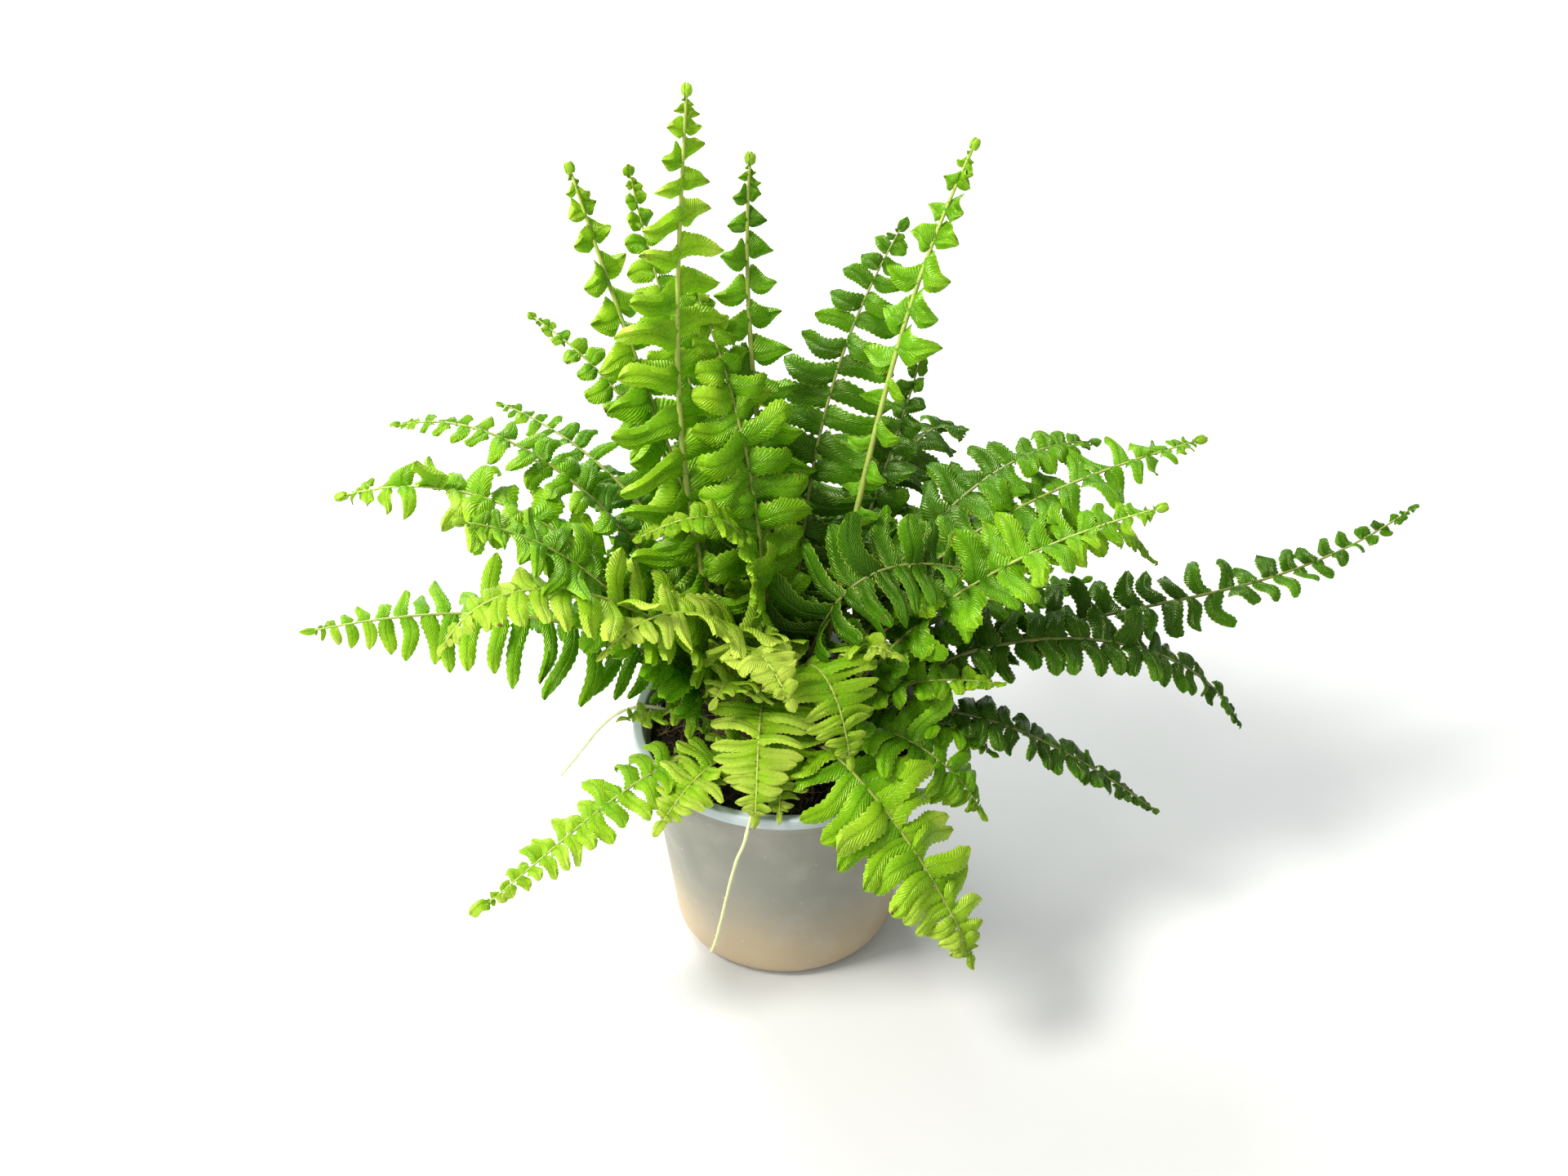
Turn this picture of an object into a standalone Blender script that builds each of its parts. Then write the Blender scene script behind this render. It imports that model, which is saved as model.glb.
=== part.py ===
"""A potted sword fern: a plastic growers' pot, potting mix, a crown, its fronds and two runners.

Metres, +Z up.  The origin is the middle of the pot's flat base, on the surface that it stands on.
The fronds are measured from the middle of the crown, so the plant rises and sinks with the soil.
"""

import math
from typing import NamedTuple

import bmesh
import bpy
import numpy as np
from mathutils import Vector
from mathutils.bvhtree import BVHTree

# ---- Pot ------------------------------------------------------------------------------------
POT_HEIGHT = 0.100          # base to the top of the rim
RIM_RADIUS = 0.060          # outside of the rolled rim, a 12 cm pot
RIM_BAND = 0.005            # height of the rolled rim
RIM_WIDTH = 0.004           # how wide the rim is on top
RIM_ROUND = 0.0008          # rounding of the rim's edges
RIM_OVERHANG = 0.0045       # how far the rim stands out from the wall under it
POT_TAPER = 0.0105          # how much narrower the wall is at the foot than under the rim
FOOT_ROUND = 0.007          # radius of the rounded foot
POT_WALL = 0.0015           # wall and floor
BEAD_DROP = 0.008           # the fine step on the body, below the rim band
BEAD_PROUD = 0.0003         # how far that step stands out
DRAIN_HOLES = 6
DRAIN_RADIUS = 0.004
DRAIN_MARGIN = 0.014        # from the edge of the flat base to the middle of a drain hole
POT_STEPS = 36

# ---- Potting mix and crown ------------------------------------------------------------------
FIT_GAP = 0.0003            # clearance between pieces that touch
SOIL_DROP = 0.008           # soil surface in the middle, below the top of the rim
SOIL_FALL = 0.002           # how much lower the soil is at the wall
CROWN_RADIUS = 0.030        # the woody crown that the fronds grow from
CROWN_HEIGHT = 0.016
CROWN_SEAT = 0.003          # flat soil round the crown

# ---- Fronds ---------------------------------------------------------------------------------
STALK_BASE = 0.0022         # thickness of a stalk where it leaves the crown
STALK_TIP = 0.0012          # thickness of a stalk at its tip
STALK_CELLS = 3             # straight cells in the bare foot of a stalk
BARE_SHARE = 0.16           # part of a stalk that has no leaflets
LEAFLET_GAP = 0.0005        # clearance round a leaflet
LEAFLET_LEAN = 0.16         # how far a leaflet's tip leans forward, over its length
LEAFLET_ALTERNATE = 0.25    # shift of the left and right leaflets, over their spacing
TAPER_LEFT = 0.14           # length of the last leaflet, over the longest one
SWELL_START = 0.60          # length of the first leaflet, over the longest one
SWELL_SHARE = 0.25          # part of the leafy stretch in which the leaflets grow to full length
BLUNT_TAPER = 3.0           # how late a full-grown frond tapers
YOUNG_TAPER = 2.2           # how late a young frond tapers
YOUNG_BLUNT = 0.38          # leaflets with narrower ends than this belong to young fronds
ROOT_HANDLE = 0.42          # how long a stalk keeps its first direction, over its chord
TIP_HANDLE = 0.36           # how long it keeps its last direction, over its chord
CURVE_SAMPLES = 96
FLOOR_CLEARANCE = 0.001     # lowest point of a leaflet

SOIL_TOP = POT_HEIGHT - SOIL_DROP
BODY_TOP_RADIUS = RIM_RADIUS - RIM_OVERHANG
BODY_LOW_RADIUS = BODY_TOP_RADIUS - POT_TAPER
BASE_RADIUS = BODY_LOW_RADIUS - FOOT_ROUND
DRAIN_CIRCLE = BASE_RADIUS - DRAIN_MARGIN


class Frond(NamedTuple):
    """One frond, measured from the middle of the crown at the soil's surface."""

    name: str
    root: float      # heading of the stalk where it leaves the crown, degrees from +X
    rise: float      # steepness of the stalk there, degrees
    heading: float   # heading of the tip, degrees
    reach: float     # distance of the tip from the pot's axis
    height: float    # height of the tip over the soil
    turn: float      # how far the tip points away from its heading, degrees
    dip: float       # steepness of the tip, degrees, negative where it hangs
    roll: float      # turn of the leaflets about the stalk, degrees
    droop: float     # how far the leaflets hang below the stalk's own plane, degrees
    leaflet: float   # length of the longest leaflet
    pairs: int       # leaflets on each side
    bow: float       # how far the arch swells, 1 for a plain one
    blunt: float     # width of a leaflet's end over its base


FRONDS = (
    Frond("upright_frond_1", 175, 72, 120, 0.070, 0.245, -60, 82, 0, 0, 0.024, 14, 1.0, 0.35),
    Frond("upright_frond_2", 165, 76, 135, 0.112, 0.205, 0, 66, 0, 0, 0.021, 11, 1.0, 0.25),
    Frond("upright_frond_3", 15, 78, 50, 0.108, 0.213, -15, 60, 0, 0, 0.021, 12, 1.0, 0.25),
    Frond("upright_frond_4", 100, 80, 100, 0.074, 0.212, -30, 78, 0, 0, 0.018, 12, 1.0, 0.25),
    Frond("upright_frond_5", 75, 80, 65, 0.105, 0.173, -20, 45, 0, 5, 0.027, 16, 1.0, 0.45),
    Frond("upright_frond_6", 122, 76, 115, 0.145, 0.178, 0, 60, 0, 0, 0.018, 15, 1.0, 0.40),
    Frond("upright_frond_7", 45, 72, 60, 0.110, 0.119, 0, 60, 0, 0, 0.015, 12, 1.0, 0.40),
    Frond("upright_frond_8", 130, 84, 120, 0.068, 0.169, 0, 40, 0, 5, 0.023, 14, 1.0, 0.45),
    Frond("left_frond_1", 178, 54, 185, 0.177, 0.064, 0, -10, -15, 25, 0.028, 17, 1.0, 0.50),
    Frond("left_frond_2", 190, 64, 175, 0.165, 0.105, 0, -20, 0, 10, 0.026, 15, 1.1, 0.45),
    Frond("left_frond_3", 208, 58, 190, 0.117, 0.117, 0, 15, 0, 10, 0.026, 14, 1.0, 0.45),
    Frond("left_frond_4", 203, 72, 200, 0.131, 0.080, 0, -60, 0, 15, 0.024, 16, 1.1, 0.45),
    Frond("left_frond_5", 160, 66, 160, 0.159, 0.110, 0, -25, 0, 10, 0.020, 17, 1.0, 0.45),
    Frond("left_frond_6", 140, 66, 140, 0.149, 0.093, 0, -5, 0, 10, 0.020, 16, 1.0, 0.45),
    Frond("left_frond_7", 142, 75, 140, 0.127, 0.142, 0, 10, 0, 0, 0.016, 15, 1.0, 0.40),
    Frond("right_frond_1", 5, 40, 15, 0.262, 0.061, 0, 35, 10, 0, 0.018, 22, 1.0, 0.45),
    Frond("right_frond_2", 20, 68, 20, 0.171, 0.100, 0, 5, 0, 10, 0.025, 16, 1.0, 0.40),
    Frond("right_frond_3", 352, 64, 5, 0.140, 0.100, 0, 15, 0, 10, 0.024, 15, 1.0, 0.45),
    Frond("right_frond_4", 355, 52, 5, 0.184, -0.008, 0, -65, 10, 10, 0.018, 20, 1.1, 0.50),
    Frond("right_frond_5", 342, 46, 355, 0.148, -0.029, 0, -40, 0, 10, 0.014, 18, 1.0, 0.50),
    Frond("right_frond_6", 5, 70, 15, 0.149, 0.058, 0, -70, 0, 10, 0.022, 15, 1.0, 0.45),
    Frond("right_frond_7", 32, 66, 30, 0.140, 0.092, 0, -20, 0, 10, 0.024, 15, 1.0, 0.45),
    Frond("right_frond_8", 15, 58, 20, 0.127, 0.043, 0, -5, 0, 10, 0.018, 14, 1.0, 0.45),
    Frond("front_frond_1", 288, 58, 308, 0.113, -0.034, 10, -65, 0, 10, 0.028, 14, 1.0, 0.50),
    Frond("front_frond_2", 225, 40, 215, 0.136, -0.017, 0, -20, 0, 10, 0.016, 16, 1.0, 0.50),
    Frond("front_frond_3", 290, 84, 295, 0.057, 0.032, 0, -75, 0, 5, 0.023, 14, 2.0, 0.55),
    Frond("front_frond_4", 230, 80, 260, 0.063, 0.012, 0, -75, 0, 5, 0.020, 13, 1.3, 0.55),
    Frond("front_frond_5", 322, 56, 330, 0.086, -0.001, 0, -60, 0, 10, 0.024, 11, 1.1, 0.50),
    Frond("front_frond_6", 278, 68, 268, 0.060, 0.012, 0, -50, 0, 5, 0.016, 10, 1.0, 0.55),
    Frond("front_frond_7", 200, 78, 272, 0.050, 0.058, 40, -50, 0, 5, 0.018, 12, 1.4, 0.50),
    Frond("front_frond_8", 238, 46, 235, 0.079, 0.012, 0, -30, 0, 10, 0.017, 10, 1.0, 0.50),
    Frond("centre_frond_1", 350, 84, 8, 0.085, 0.066, 0, -30, 20, 5, 0.026, 14, 1.6, 0.50),
    Frond("centre_frond_2", 250, 84, 210, 0.075, 0.072, 0, -40, 0, 5, 0.022, 13, 1.2, 0.50),
    Frond("centre_frond_3", 195, 84, 192, 0.054, 0.104, 0, -25, 0, 5, 0.015, 14, 1.5, 0.55),
    Frond("centre_frond_4", 88, 72, 84, 0.074, 0.071, 0, -20, 0, 5, 0.020, 12, 1.0, 0.50),
    Frond("small_frond_1", 334, 62, 345, 0.083, 0.043, 0, 0, 0, 5, 0.013, 9, 1.0, 0.50),
    Frond("small_frond_2", 320, 72, 330, 0.047, 0.059, 0, -20, 0, 5, 0.015, 8, 1.0, 0.50),
    Frond("small_frond_3", 198, 50, 200, 0.064, 0.026, 0, -10, 0, 5, 0.015, 8, 1.0, 0.50),
    Frond("small_frond_4", 250, 52, 240, 0.056, 0.016, 0, -20, 0, 5, 0.014, 7, 1.0, 0.50),
    Frond("small_frond_5", 330, 48, 345, 0.082, 0.009, 0, -50, 0, 5, 0.015, 10, 1.0, 0.50),
    Frond("small_frond_6", 225, 72, 235, 0.045, 0.048, 0, -40, 0, 5, 0.017, 9, 1.0, 0.50),
    Frond("small_frond_7", 308, 50, 318, 0.050, 0.014, 0, -30, 0, 5, 0.013, 7, 1.0, 0.50),
    Frond("small_frond_8", 115, 50, 112, 0.078, 0.012, 0, -30, 0, 5, 0.018, 9, 1.0, 0.50),
    Frond("back_frond_1", 76, 62, 72, 0.160, 0.040, 0, -50, 0, 10, 0.024, 16, 1.0, 0.45),
    Frond("back_frond_2", 100, 58, 98, 0.170, 0.050, 0, -40, 0, 10, 0.024, 17, 1.0, 0.45),
    Frond("back_frond_3", 125, 58, 124, 0.150, 0.030, 0, -50, 0, 10, 0.022, 15, 1.0, 0.45),
    Frond("back_frond_4", 50, 56, 45, 0.165, 0.015, 0, -50, 0, 10, 0.022, 16, 1.0, 0.45),
    Frond("back_frond_5", 62, 72, 60, 0.149, 0.058, 0, -50, 0, 10, 0.022, 15, 1.0, 0.45),
    Frond("back_frond_6", 150, 52, 152, 0.128, 0.008, 0, -45, 0, 10, 0.020, 13, 1.0, 0.50),
    Frond("back_frond_7", 86, 46, 84, 0.112, -0.012, 0, -55, 0, 10, 0.021, 11, 1.0, 0.50),
)

# ---- Runners: routes chosen by hand, from the soil, over the rim and down -------------------
# Each point has a heading in degrees, a distance past the rim and a height over the rim.
RUNNER_THICKNESS = 0.0013
RUNNER_TIP = 0.6            # thickness at a runner's tip, over its thickness
RUNNER_SPACING = 0.0039     # between the points of its tube
FRONT_RUNNER = (
    (260, -0.0150, -0.0050),
    (259, -0.0070, 0.0010),
    (258.5, 0.0000, 0.0035),
    (258, 0.0045, 0.0000),
    (257, 0.0057, -0.0080),
    (254, 0.0060, -0.0160),
    (252, 0.0058, -0.0270),
    (250, 0.0058, -0.0390),
    (248, 0.0058, -0.0510),
    (246, 0.0055, -0.0620),
    (244, 0.0057, -0.0700),
)
LEFT_RUNNER = (
    (172, -0.0185, -0.0055),
    (175, -0.0130, 0.0005),
    (178, -0.0060, 0.0040),
    (180, 0.0010, 0.0048),
    (182, 0.0070, 0.0030),
    (183, 0.0130, -0.0020),
    (184, 0.0180, -0.0080),
    (185, 0.0235, -0.0150),
    (186, 0.0295, -0.0220),
)

COLLECTION = "potted_fern"
PLASTIC = ("pot_plastic", (0.46, 0.42, 0.37), 0.55)
SOIL = ("potting_mix", (0.035, 0.022, 0.014), 0.95)
CROWN = ("crown_scales", (0.10, 0.055, 0.025), 0.90)
STOLON = ("runner_stem", (0.62, 0.66, 0.36), 0.60)
LEAF_FRESH = ("leaf_fresh", (0.30, 0.50, 0.045), 0.50)
LEAF_GREEN = ("leaf_green", (0.13, 0.33, 0.03), 0.48)
LEAF_DEEP = ("leaf_deep", (0.05, 0.19, 0.022), 0.45)


# ---- Scene and materials --------------------------------------------------------------------
def clear_scene():
    """Remove every object, so that the file can be run again."""
    for thing in list(bpy.data.objects):
        bpy.data.objects.remove(thing, do_unlink=True)


def collection(name, hidden=False):
    """Return a collection of that name under the scene."""
    group = bpy.data.collections.get(name) or bpy.data.collections.new(name)
    if group.name not in bpy.context.scene.collection.children:
        bpy.context.scene.collection.children.link(group)
    group.hide_render = hidden
    return group


def material(finish):
    """Return the Principled material of a (name, colour, roughness) finish."""
    name, colour, roughness = finish
    found = bpy.data.materials.get(name)
    if found:
        return found
    made = bpy.data.materials.new(name)
    made.use_nodes = True
    shader = made.node_tree.nodes["Principled BSDF"]
    shader.inputs["Base Color"].default_value = (*colour, 1.0)
    shader.inputs["Roughness"].default_value = roughness
    shader.inputs["Metallic"].default_value = 0.0
    made.diffuse_color = (*colour, 1.0)
    return made


def add_object(name, data, finish, group):
    """Put a mesh or a curve in the collection as a named object with its finish."""
    thing = bpy.data.objects.new(name, data)
    data.materials.append(material(finish))
    group.objects.link(thing)
    return thing


def turned(name, profile, finish, group):
    """Turn an open (radius, height) profile, run down its outer side, about the Z axis."""
    mesh = bpy.data.meshes.new(name)
    points = [(radius, 0.0, height) for radius, height in profile]
    mesh.from_pydata(points, [(i, i + 1) for i in range(len(points) - 1)], [])
    thing = add_object(name, mesh, finish, group)
    screw = thing.modifiers.new("turn", "SCREW")
    screw.steps = POT_STEPS
    screw.render_steps = POT_STEPS
    screw.use_merge_vertices = True
    screw.merge_threshold = 0.00001
    screw.use_smooth_shade = True
    return thing


def arc(centre_radius, centre_height, radius, start, end, steps):
    """Points of an arc in the profile's plane, angles in degrees from the outward direction."""
    points = []
    for step in range(steps + 1):
        angle = math.radians(start + (end - start) * step / steps)
        points.append((centre_radius + radius * math.cos(angle),
                       centre_height + radius * math.sin(angle)))
    return points


# ---- Pot and soil ---------------------------------------------------------------------------
def wall_radius(height):
    """Outer radius of the tapered wall at a height, from the foot to the rim band."""
    top = POT_HEIGHT - RIM_BAND
    share = (height - FOOT_ROUND) / (top - FOOT_ROUND)
    return BODY_LOW_RADIUS + (BODY_TOP_RADIUS - BODY_LOW_RADIUS) * share


def inner_profile(gap):
    """The pot's inside from the floor's middle up to under the rim, moved inwards by a gap."""
    floor = POT_WALL + gap
    corner = FOOT_ROUND - POT_WALL - gap
    inside = [(0.0, floor)]
    inside += arc(BASE_RADIUS, FOOT_ROUND, corner, -90, 0, 3)
    top = POT_HEIGHT - RIM_BAND - POT_WALL
    inside.append((wall_radius(top) - POT_WALL - gap, top))
    return inside


def build_pot(group, cutters):
    """The thin-walled pot: rolled rim, fine step, tapered wall, rounded foot and drain holes."""
    rim_in = RIM_RADIUS - RIM_WIDTH
    band_low = POT_HEIGHT - RIM_BAND
    bead = band_low - BEAD_DROP
    profile = inner_profile(0.0)
    profile.append((rim_in - POT_WALL * 0.5, band_low))
    profile.append((rim_in, POT_HEIGHT - RIM_ROUND))
    profile += arc(rim_in + RIM_ROUND, POT_HEIGHT - RIM_ROUND, RIM_ROUND, 135, 90, 1)
    profile += arc(RIM_RADIUS - RIM_ROUND, POT_HEIGHT - RIM_ROUND, RIM_ROUND, 90, 0, 2)
    profile += arc(RIM_RADIUS - RIM_ROUND, band_low + RIM_ROUND, RIM_ROUND, 0, -90, 2)
    profile.append((BODY_TOP_RADIUS, band_low))
    profile.append((wall_radius(bead) + BEAD_PROUD, bead))
    profile.append((wall_radius(bead - BEAD_PROUD), bead - BEAD_PROUD))
    profile += arc(BASE_RADIUS, FOOT_ROUND, FOOT_ROUND, 0, -90, 4)
    profile.append((0.0, 0.0))
    pot = turned("pot", profile, PLASTIC, group)
    for index in range(DRAIN_HOLES):
        angle = 2.0 * math.pi * index / DRAIN_HOLES
        bpy.ops.mesh.primitive_cylinder_add(
            vertices=16, radius=DRAIN_RADIUS, depth=POT_WALL * 4,
            location=(DRAIN_CIRCLE * math.cos(angle), DRAIN_CIRCLE * math.sin(angle), 0.0))
        cutter = bpy.context.object
        cutter.name = f"drain_cutter_{index + 1}"
        cutter.display_type = "WIRE"
        cutter.hide_render = True
        for home in list(cutter.users_collection):
            home.objects.unlink(cutter)
        cutters.objects.link(cutter)
        cut = pot.modifiers.new(f"drain_{index + 1}", "BOOLEAN")
        cut.operation = "DIFFERENCE"
        cut.object = cutter
    return pot


def build_soil(group):
    """The potting mix that fills the pot, flat under the crown and lower at the wall."""
    edge = SOIL_TOP - SOIL_FALL
    inside = [point for point in inner_profile(FIT_GAP) if point[1] < edge]
    edge_radius = wall_radius(edge) - POT_WALL - FIT_GAP
    profile = [(0.0, SOIL_TOP), (CROWN_RADIUS + CROWN_SEAT, SOIL_TOP), (edge_radius, edge)]
    profile += list(reversed(inside))
    return turned("potting_mix", profile, SOIL, group)


def build_crown(group):
    """The crown: the top half of a flattened ball that sits on the soil."""
    bm = bmesh.new()
    bmesh.ops.create_uvsphere(bm, u_segments=28, v_segments=12, radius=1.0)
    bmesh.ops.bisect_plane(bm, geom=bm.verts[:] + bm.edges[:] + bm.faces[:], dist=0.00001,
                           plane_co=(0, 0, 0), plane_no=(0, 0, -1), clear_outer=True)
    rim = [edge for edge in bm.edges if edge.is_boundary]
    bmesh.ops.holes_fill(bm, edges=rim, sides=0)
    bmesh.ops.scale(bm, vec=(CROWN_RADIUS, CROWN_RADIUS, CROWN_HEIGHT), verts=bm.verts)
    bmesh.ops.recalc_face_normals(bm, faces=bm.faces)
    mesh = bpy.data.meshes.new("crown")
    bm.to_mesh(mesh)
    bm.free()
    return add_object("crown", mesh, CROWN, group)


# ---- Fronds ---------------------------------------------------------------------------------
def direction(heading, rise):
    """Unit vector of a heading and a rise in degrees."""
    flat = math.cos(math.radians(rise))
    return Vector((math.cos(math.radians(heading)) * flat,
                   math.sin(math.radians(heading)) * flat,
                   math.sin(math.radians(rise))))


class Stalk:
    """The curve of one frond's stalk, with a frame at every distance along it."""

    def __init__(self, frond):
        """Sample the curve from the crown to the tip."""
        out = direction(frond.root, frond.rise)
        seat = Vector((out.x * CROWN_RADIUS ** 2, out.y * CROWN_RADIUS ** 2,
                       out.z * CROWN_HEIGHT ** 2))
        span = math.hypot(CROWN_RADIUS * math.hypot(out.x, out.y), CROWN_HEIGHT * out.z)
        start = seat / span + out * FIT_GAP
        start.z += FIT_GAP
        tip = direction(frond.heading, 0.0) * frond.reach
        tip.z = frond.height
        end = direction(frond.heading + frond.turn, frond.dip)
        chord = (tip - start).length * frond.bow
        control = np.array([start, start + out * chord * ROOT_HANDLE,
                            tip - end * chord * TIP_HANDLE, tip])
        t = np.linspace(0.0, 1.0, CURVE_SAMPLES)[:, None]
        weights = np.hstack([(1 - t) ** 3, 3 * (1 - t) ** 2 * t, 3 * (1 - t) * t ** 2, t ** 3])
        self.points = weights @ control
        steps = np.linalg.norm(np.diff(self.points, axis=0), axis=1)
        self.at = np.concatenate([[0.0], np.cumsum(steps)])
        self.length = float(self.at[-1])
        self.make_frames(frond)

    def make_frames(self, frond):
        """Give each sample a tangent, a side across the frond and a normal off its face."""
        tangent = np.gradient(self.points, axis=0)
        tangent /= np.linalg.norm(tangent, axis=1)[:, None]
        across = np.array(direction(frond.heading + 90.0, 0.0))
        side = across - (tangent @ across)[:, None] * tangent
        side /= np.linalg.norm(side, axis=1)[:, None]
        normal = np.cross(tangent, side)
        roll = math.radians(frond.roll)
        self.tangent = tangent
        self.side = side * math.cos(roll) + normal * math.sin(roll)
        self.normal = normal * math.cos(roll) - side * math.sin(roll)

    def place(self, along, across, up):
        """Carry a point of the flat frond onto the curved one."""
        held = min(max(along, 0.0), self.length)
        spot = [np.array([np.interp(held, self.at, column) for column in table.T])
                for table in (self.points, self.tangent, self.side, self.normal)]
        centre, tangent, side, normal = spot
        return Vector(centre + tangent * (along - held) + side * across + normal * up)


def thickness(share):
    """Half the stalk's thickness at a share of its length."""
    return 0.5 * (STALK_BASE + (STALK_TIP - STALK_BASE) * share)


def leaflet_size(frond, share):
    """Length of a leaflet over the longest one, at a share of the leafy part."""
    swell = SWELL_START + (1.0 - SWELL_START) * min(1.0, share / SWELL_SHARE)
    taper = YOUNG_TAPER if frond.blunt < YOUNG_BLUNT else BLUNT_TAPER
    return swell * (1.0 - (1.0 - TAPER_LEFT) * share ** taper)


def leafy_stations(frond, length):
    """Distances along the stalk between the leaflets, closer together towards the tip."""
    shares = [(pair + 0.5) / frond.pairs for pair in range(frond.pairs)]
    widths = [0.45 + 0.55 * leaflet_size(frond, share) for share in shares]
    scale = length * (1.0 - BARE_SHARE) * (1.0 - 0.5 / frond.pairs) / sum(widths)
    stations = [length * BARE_SHARE]
    for width in widths:
        stations.append(stations[-1] + width * scale)
    return stations


def flat_stalk(frond, length):
    """A straight stalk along +X, one cell for each pair of leaflets, as a bmesh."""
    foot = [length * BARE_SHARE * cell / STALK_CELLS for cell in range(STALK_CELLS)]
    stations = foot + leafy_stations(frond, length) + [length]
    bm = bmesh.new()
    bmesh.ops.create_cube(bm, size=2.0)
    for vert in bm.verts:
        station = stations[0] if vert.co.x < 0 else stations[1]
        half = thickness(station / length)
        vert.co = (station, math.copysign(half, vert.co.y), math.copysign(half, vert.co.z))
    end = max(bm.faces, key=lambda face: face.calc_center_median().x)
    for station in stations[2:]:
        end = bmesh.ops.extrude_discrete_faces(bm, faces=[end])["faces"][0]
        half = thickness(station / length)
        for vert in end.verts:
            vert.co = (station, math.copysign(half, vert.co.y), math.copysign(half, vert.co.z))
    shift = LEAFLET_ALTERNATE * (stations[-2] - stations[STALK_CELLS]) / frond.pairs
    for vert in bm.verts:
        if stations[1] < vert.co.x < length:
            local = leaflet_size(frond, min(1.0, vert.co.x / length))
            vert.co.x += math.copysign(shift * local, -vert.co.y)
    return bm


def leaflet_sites(bm, frond, length):
    """The side faces of the leafy cells, from the foot of the frond to its tip."""
    bm.normal_update()
    bare = length * BARE_SHARE
    sites = [face for face in bm.faces
             if abs(face.normal.y) > 0.8 and face.calc_center_median().x > bare]
    sites.sort(key=lambda face: (round(face.calc_center_median().x, 6), face.normal.y))
    return sites[:frond.pairs * 2]


def tip_edge(frond, base, length, lift, scale):
    """The two ends of a leaflet's outer edge, on the flat frond."""
    back = min(point.x for point in base)
    front = max(point.x for point in base)
    outward = math.copysign(1.0, base[0].y)
    middle = 0.5 * (back + front)
    share = (middle / length - BARE_SHARE) / (1.0 - BARE_SHARE)
    size = frond.leaflet * leaflet_size(frond, min(max(share, 0.0), 1.0)) * scale
    across = base[0].y + outward * size * math.cos(math.radians(lift))
    up = size * math.sin(math.radians(lift))
    half = 0.5 * (front - back) * frond.blunt
    centre = middle + size * LEAFLET_LEAN
    return Vector((centre - half, across, up)), Vector((centre + half, across, up))


def probe(stalk, base, edge):
    """A slightly swollen copy of one leaflet, for testing it against its neighbours."""
    outward = math.copysign(1.0, base[0].y)
    corners = []
    for point in base:
        high = math.copysign(abs(point.z) + LEAFLET_GAP, point.z)
        corners.append(stalk.place(point.x, point.y + outward * LEAFLET_GAP, high))
    ends = []
    for level in (-LEAFLET_GAP, LEAFLET_GAP):
        for side, tip in zip((-1, 1), edge):
            ends.append(stalk.place(tip.x + side * LEAFLET_GAP,
                                    tip.y + outward * LEAFLET_GAP, tip.z + level))
    low_back, low_front, high_back, high_front = corners
    points = [low_back, low_front, high_back, high_front, *ends]
    faces = [(0, 1, 5, 4), (2, 3, 7, 6), (0, 2, 6, 4), (1, 3, 7, 5), (4, 5, 7, 6)]
    return points, faces


def box_of(points):
    """Lowest and highest corner of some points."""
    table = np.array(points)
    return table.min(axis=0), table.max(axis=0)


class Obstacle:
    """A finished solid that later leaflets have to stay clear of."""

    def __init__(self, points, faces):
        """Keep the solid's box and its search tree."""
        self.low, self.high = box_of(points)
        self.tree = BVHTree.FromPolygons(points, faces)

    def meets(self, tree, low, high):
        """True where the other solid's faces cross this one's."""
        if np.any(low > self.high) or np.any(high < self.low):
            return False
        return bool(self.tree.overlap(tree))


def lift_choices(frond):
    """The lifts and sizes to try for a leaflet, its natural hang first."""
    for scale in (1.0, 0.8, 0.6):
        for step in (0, 14, -14, 28, -28, 42, -42, 56):
            yield step - frond.droop, scale


def grow_leaflets(bm, frond, stalk, obstacles):
    """Draw each leaflet out of its cell's side, at the first lift that clears the rest."""
    for site in leaflet_sites(bm, frond, stalk.length):
        base = sorted((vert.co.copy() for vert in site.verts), key=lambda co: (co.z > 0.0, co.x))
        for lift, scale in lift_choices(frond):
            edge = tip_edge(frond, base, stalk.length, lift, scale)
            points, faces = probe(stalk, base, edge)
            low, high = box_of(points)
            if low[2] < FLOOR_CLEARANCE - SOIL_TOP:
                continue
            tree = BVHTree.FromPolygons(points, faces)
            if not any(obstacle.meets(tree, low, high) for obstacle in obstacles):
                draw_leaflet(bm, site, edge)
                break


def draw_leaflet(bm, site, edge):
    """Extrude a cell's side and close it to the leaflet's outer edge."""
    outer = bmesh.ops.extrude_discrete_faces(bm, faces=[site])["faces"][0]
    middle = outer.calc_center_median().x
    backs = [vert for vert in outer.verts if vert.co.x < middle]
    fronts = [vert for vert in outer.verts if vert.co.x >= middle]
    for corners, point in ((backs, edge[0]), (fronts, edge[1])):
        bmesh.ops.pointmerge(bm, verts=corners, merge_co=point)


def stalk_obstacle(frond, stalk):
    """The bare stalk, swollen by the clearance."""
    bm = flat_stalk(frond, stalk.length)
    for vert in bm.verts:
        vert.co.y += math.copysign(LEAFLET_GAP, vert.co.y)
        vert.co.z += math.copysign(LEAFLET_GAP, vert.co.z)
        vert.co = stalk.place(*vert.co)
    bm.verts.index_update()
    points = [vert.co.copy() for vert in bm.verts]
    faces = [[vert.index for vert in face.verts] for face in bm.faces]
    bm.free()
    return Obstacle(points, faces)


def nudges(frond):
    """The frond as drawn, then with its foot turned, its tip raised and all of it swung round."""
    for swing in (0, 4, -4, 8, -8, 12, -12):
        for raised in (0.0, 0.004, 0.008, 0.012):
            for turned_by in (0, 5, -5, 10, -10, 15, -15):
                yield frond._replace(root=frond.root + turned_by + swing,
                                     heading=frond.heading + swing,
                                     height=frond.height + raised)


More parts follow.
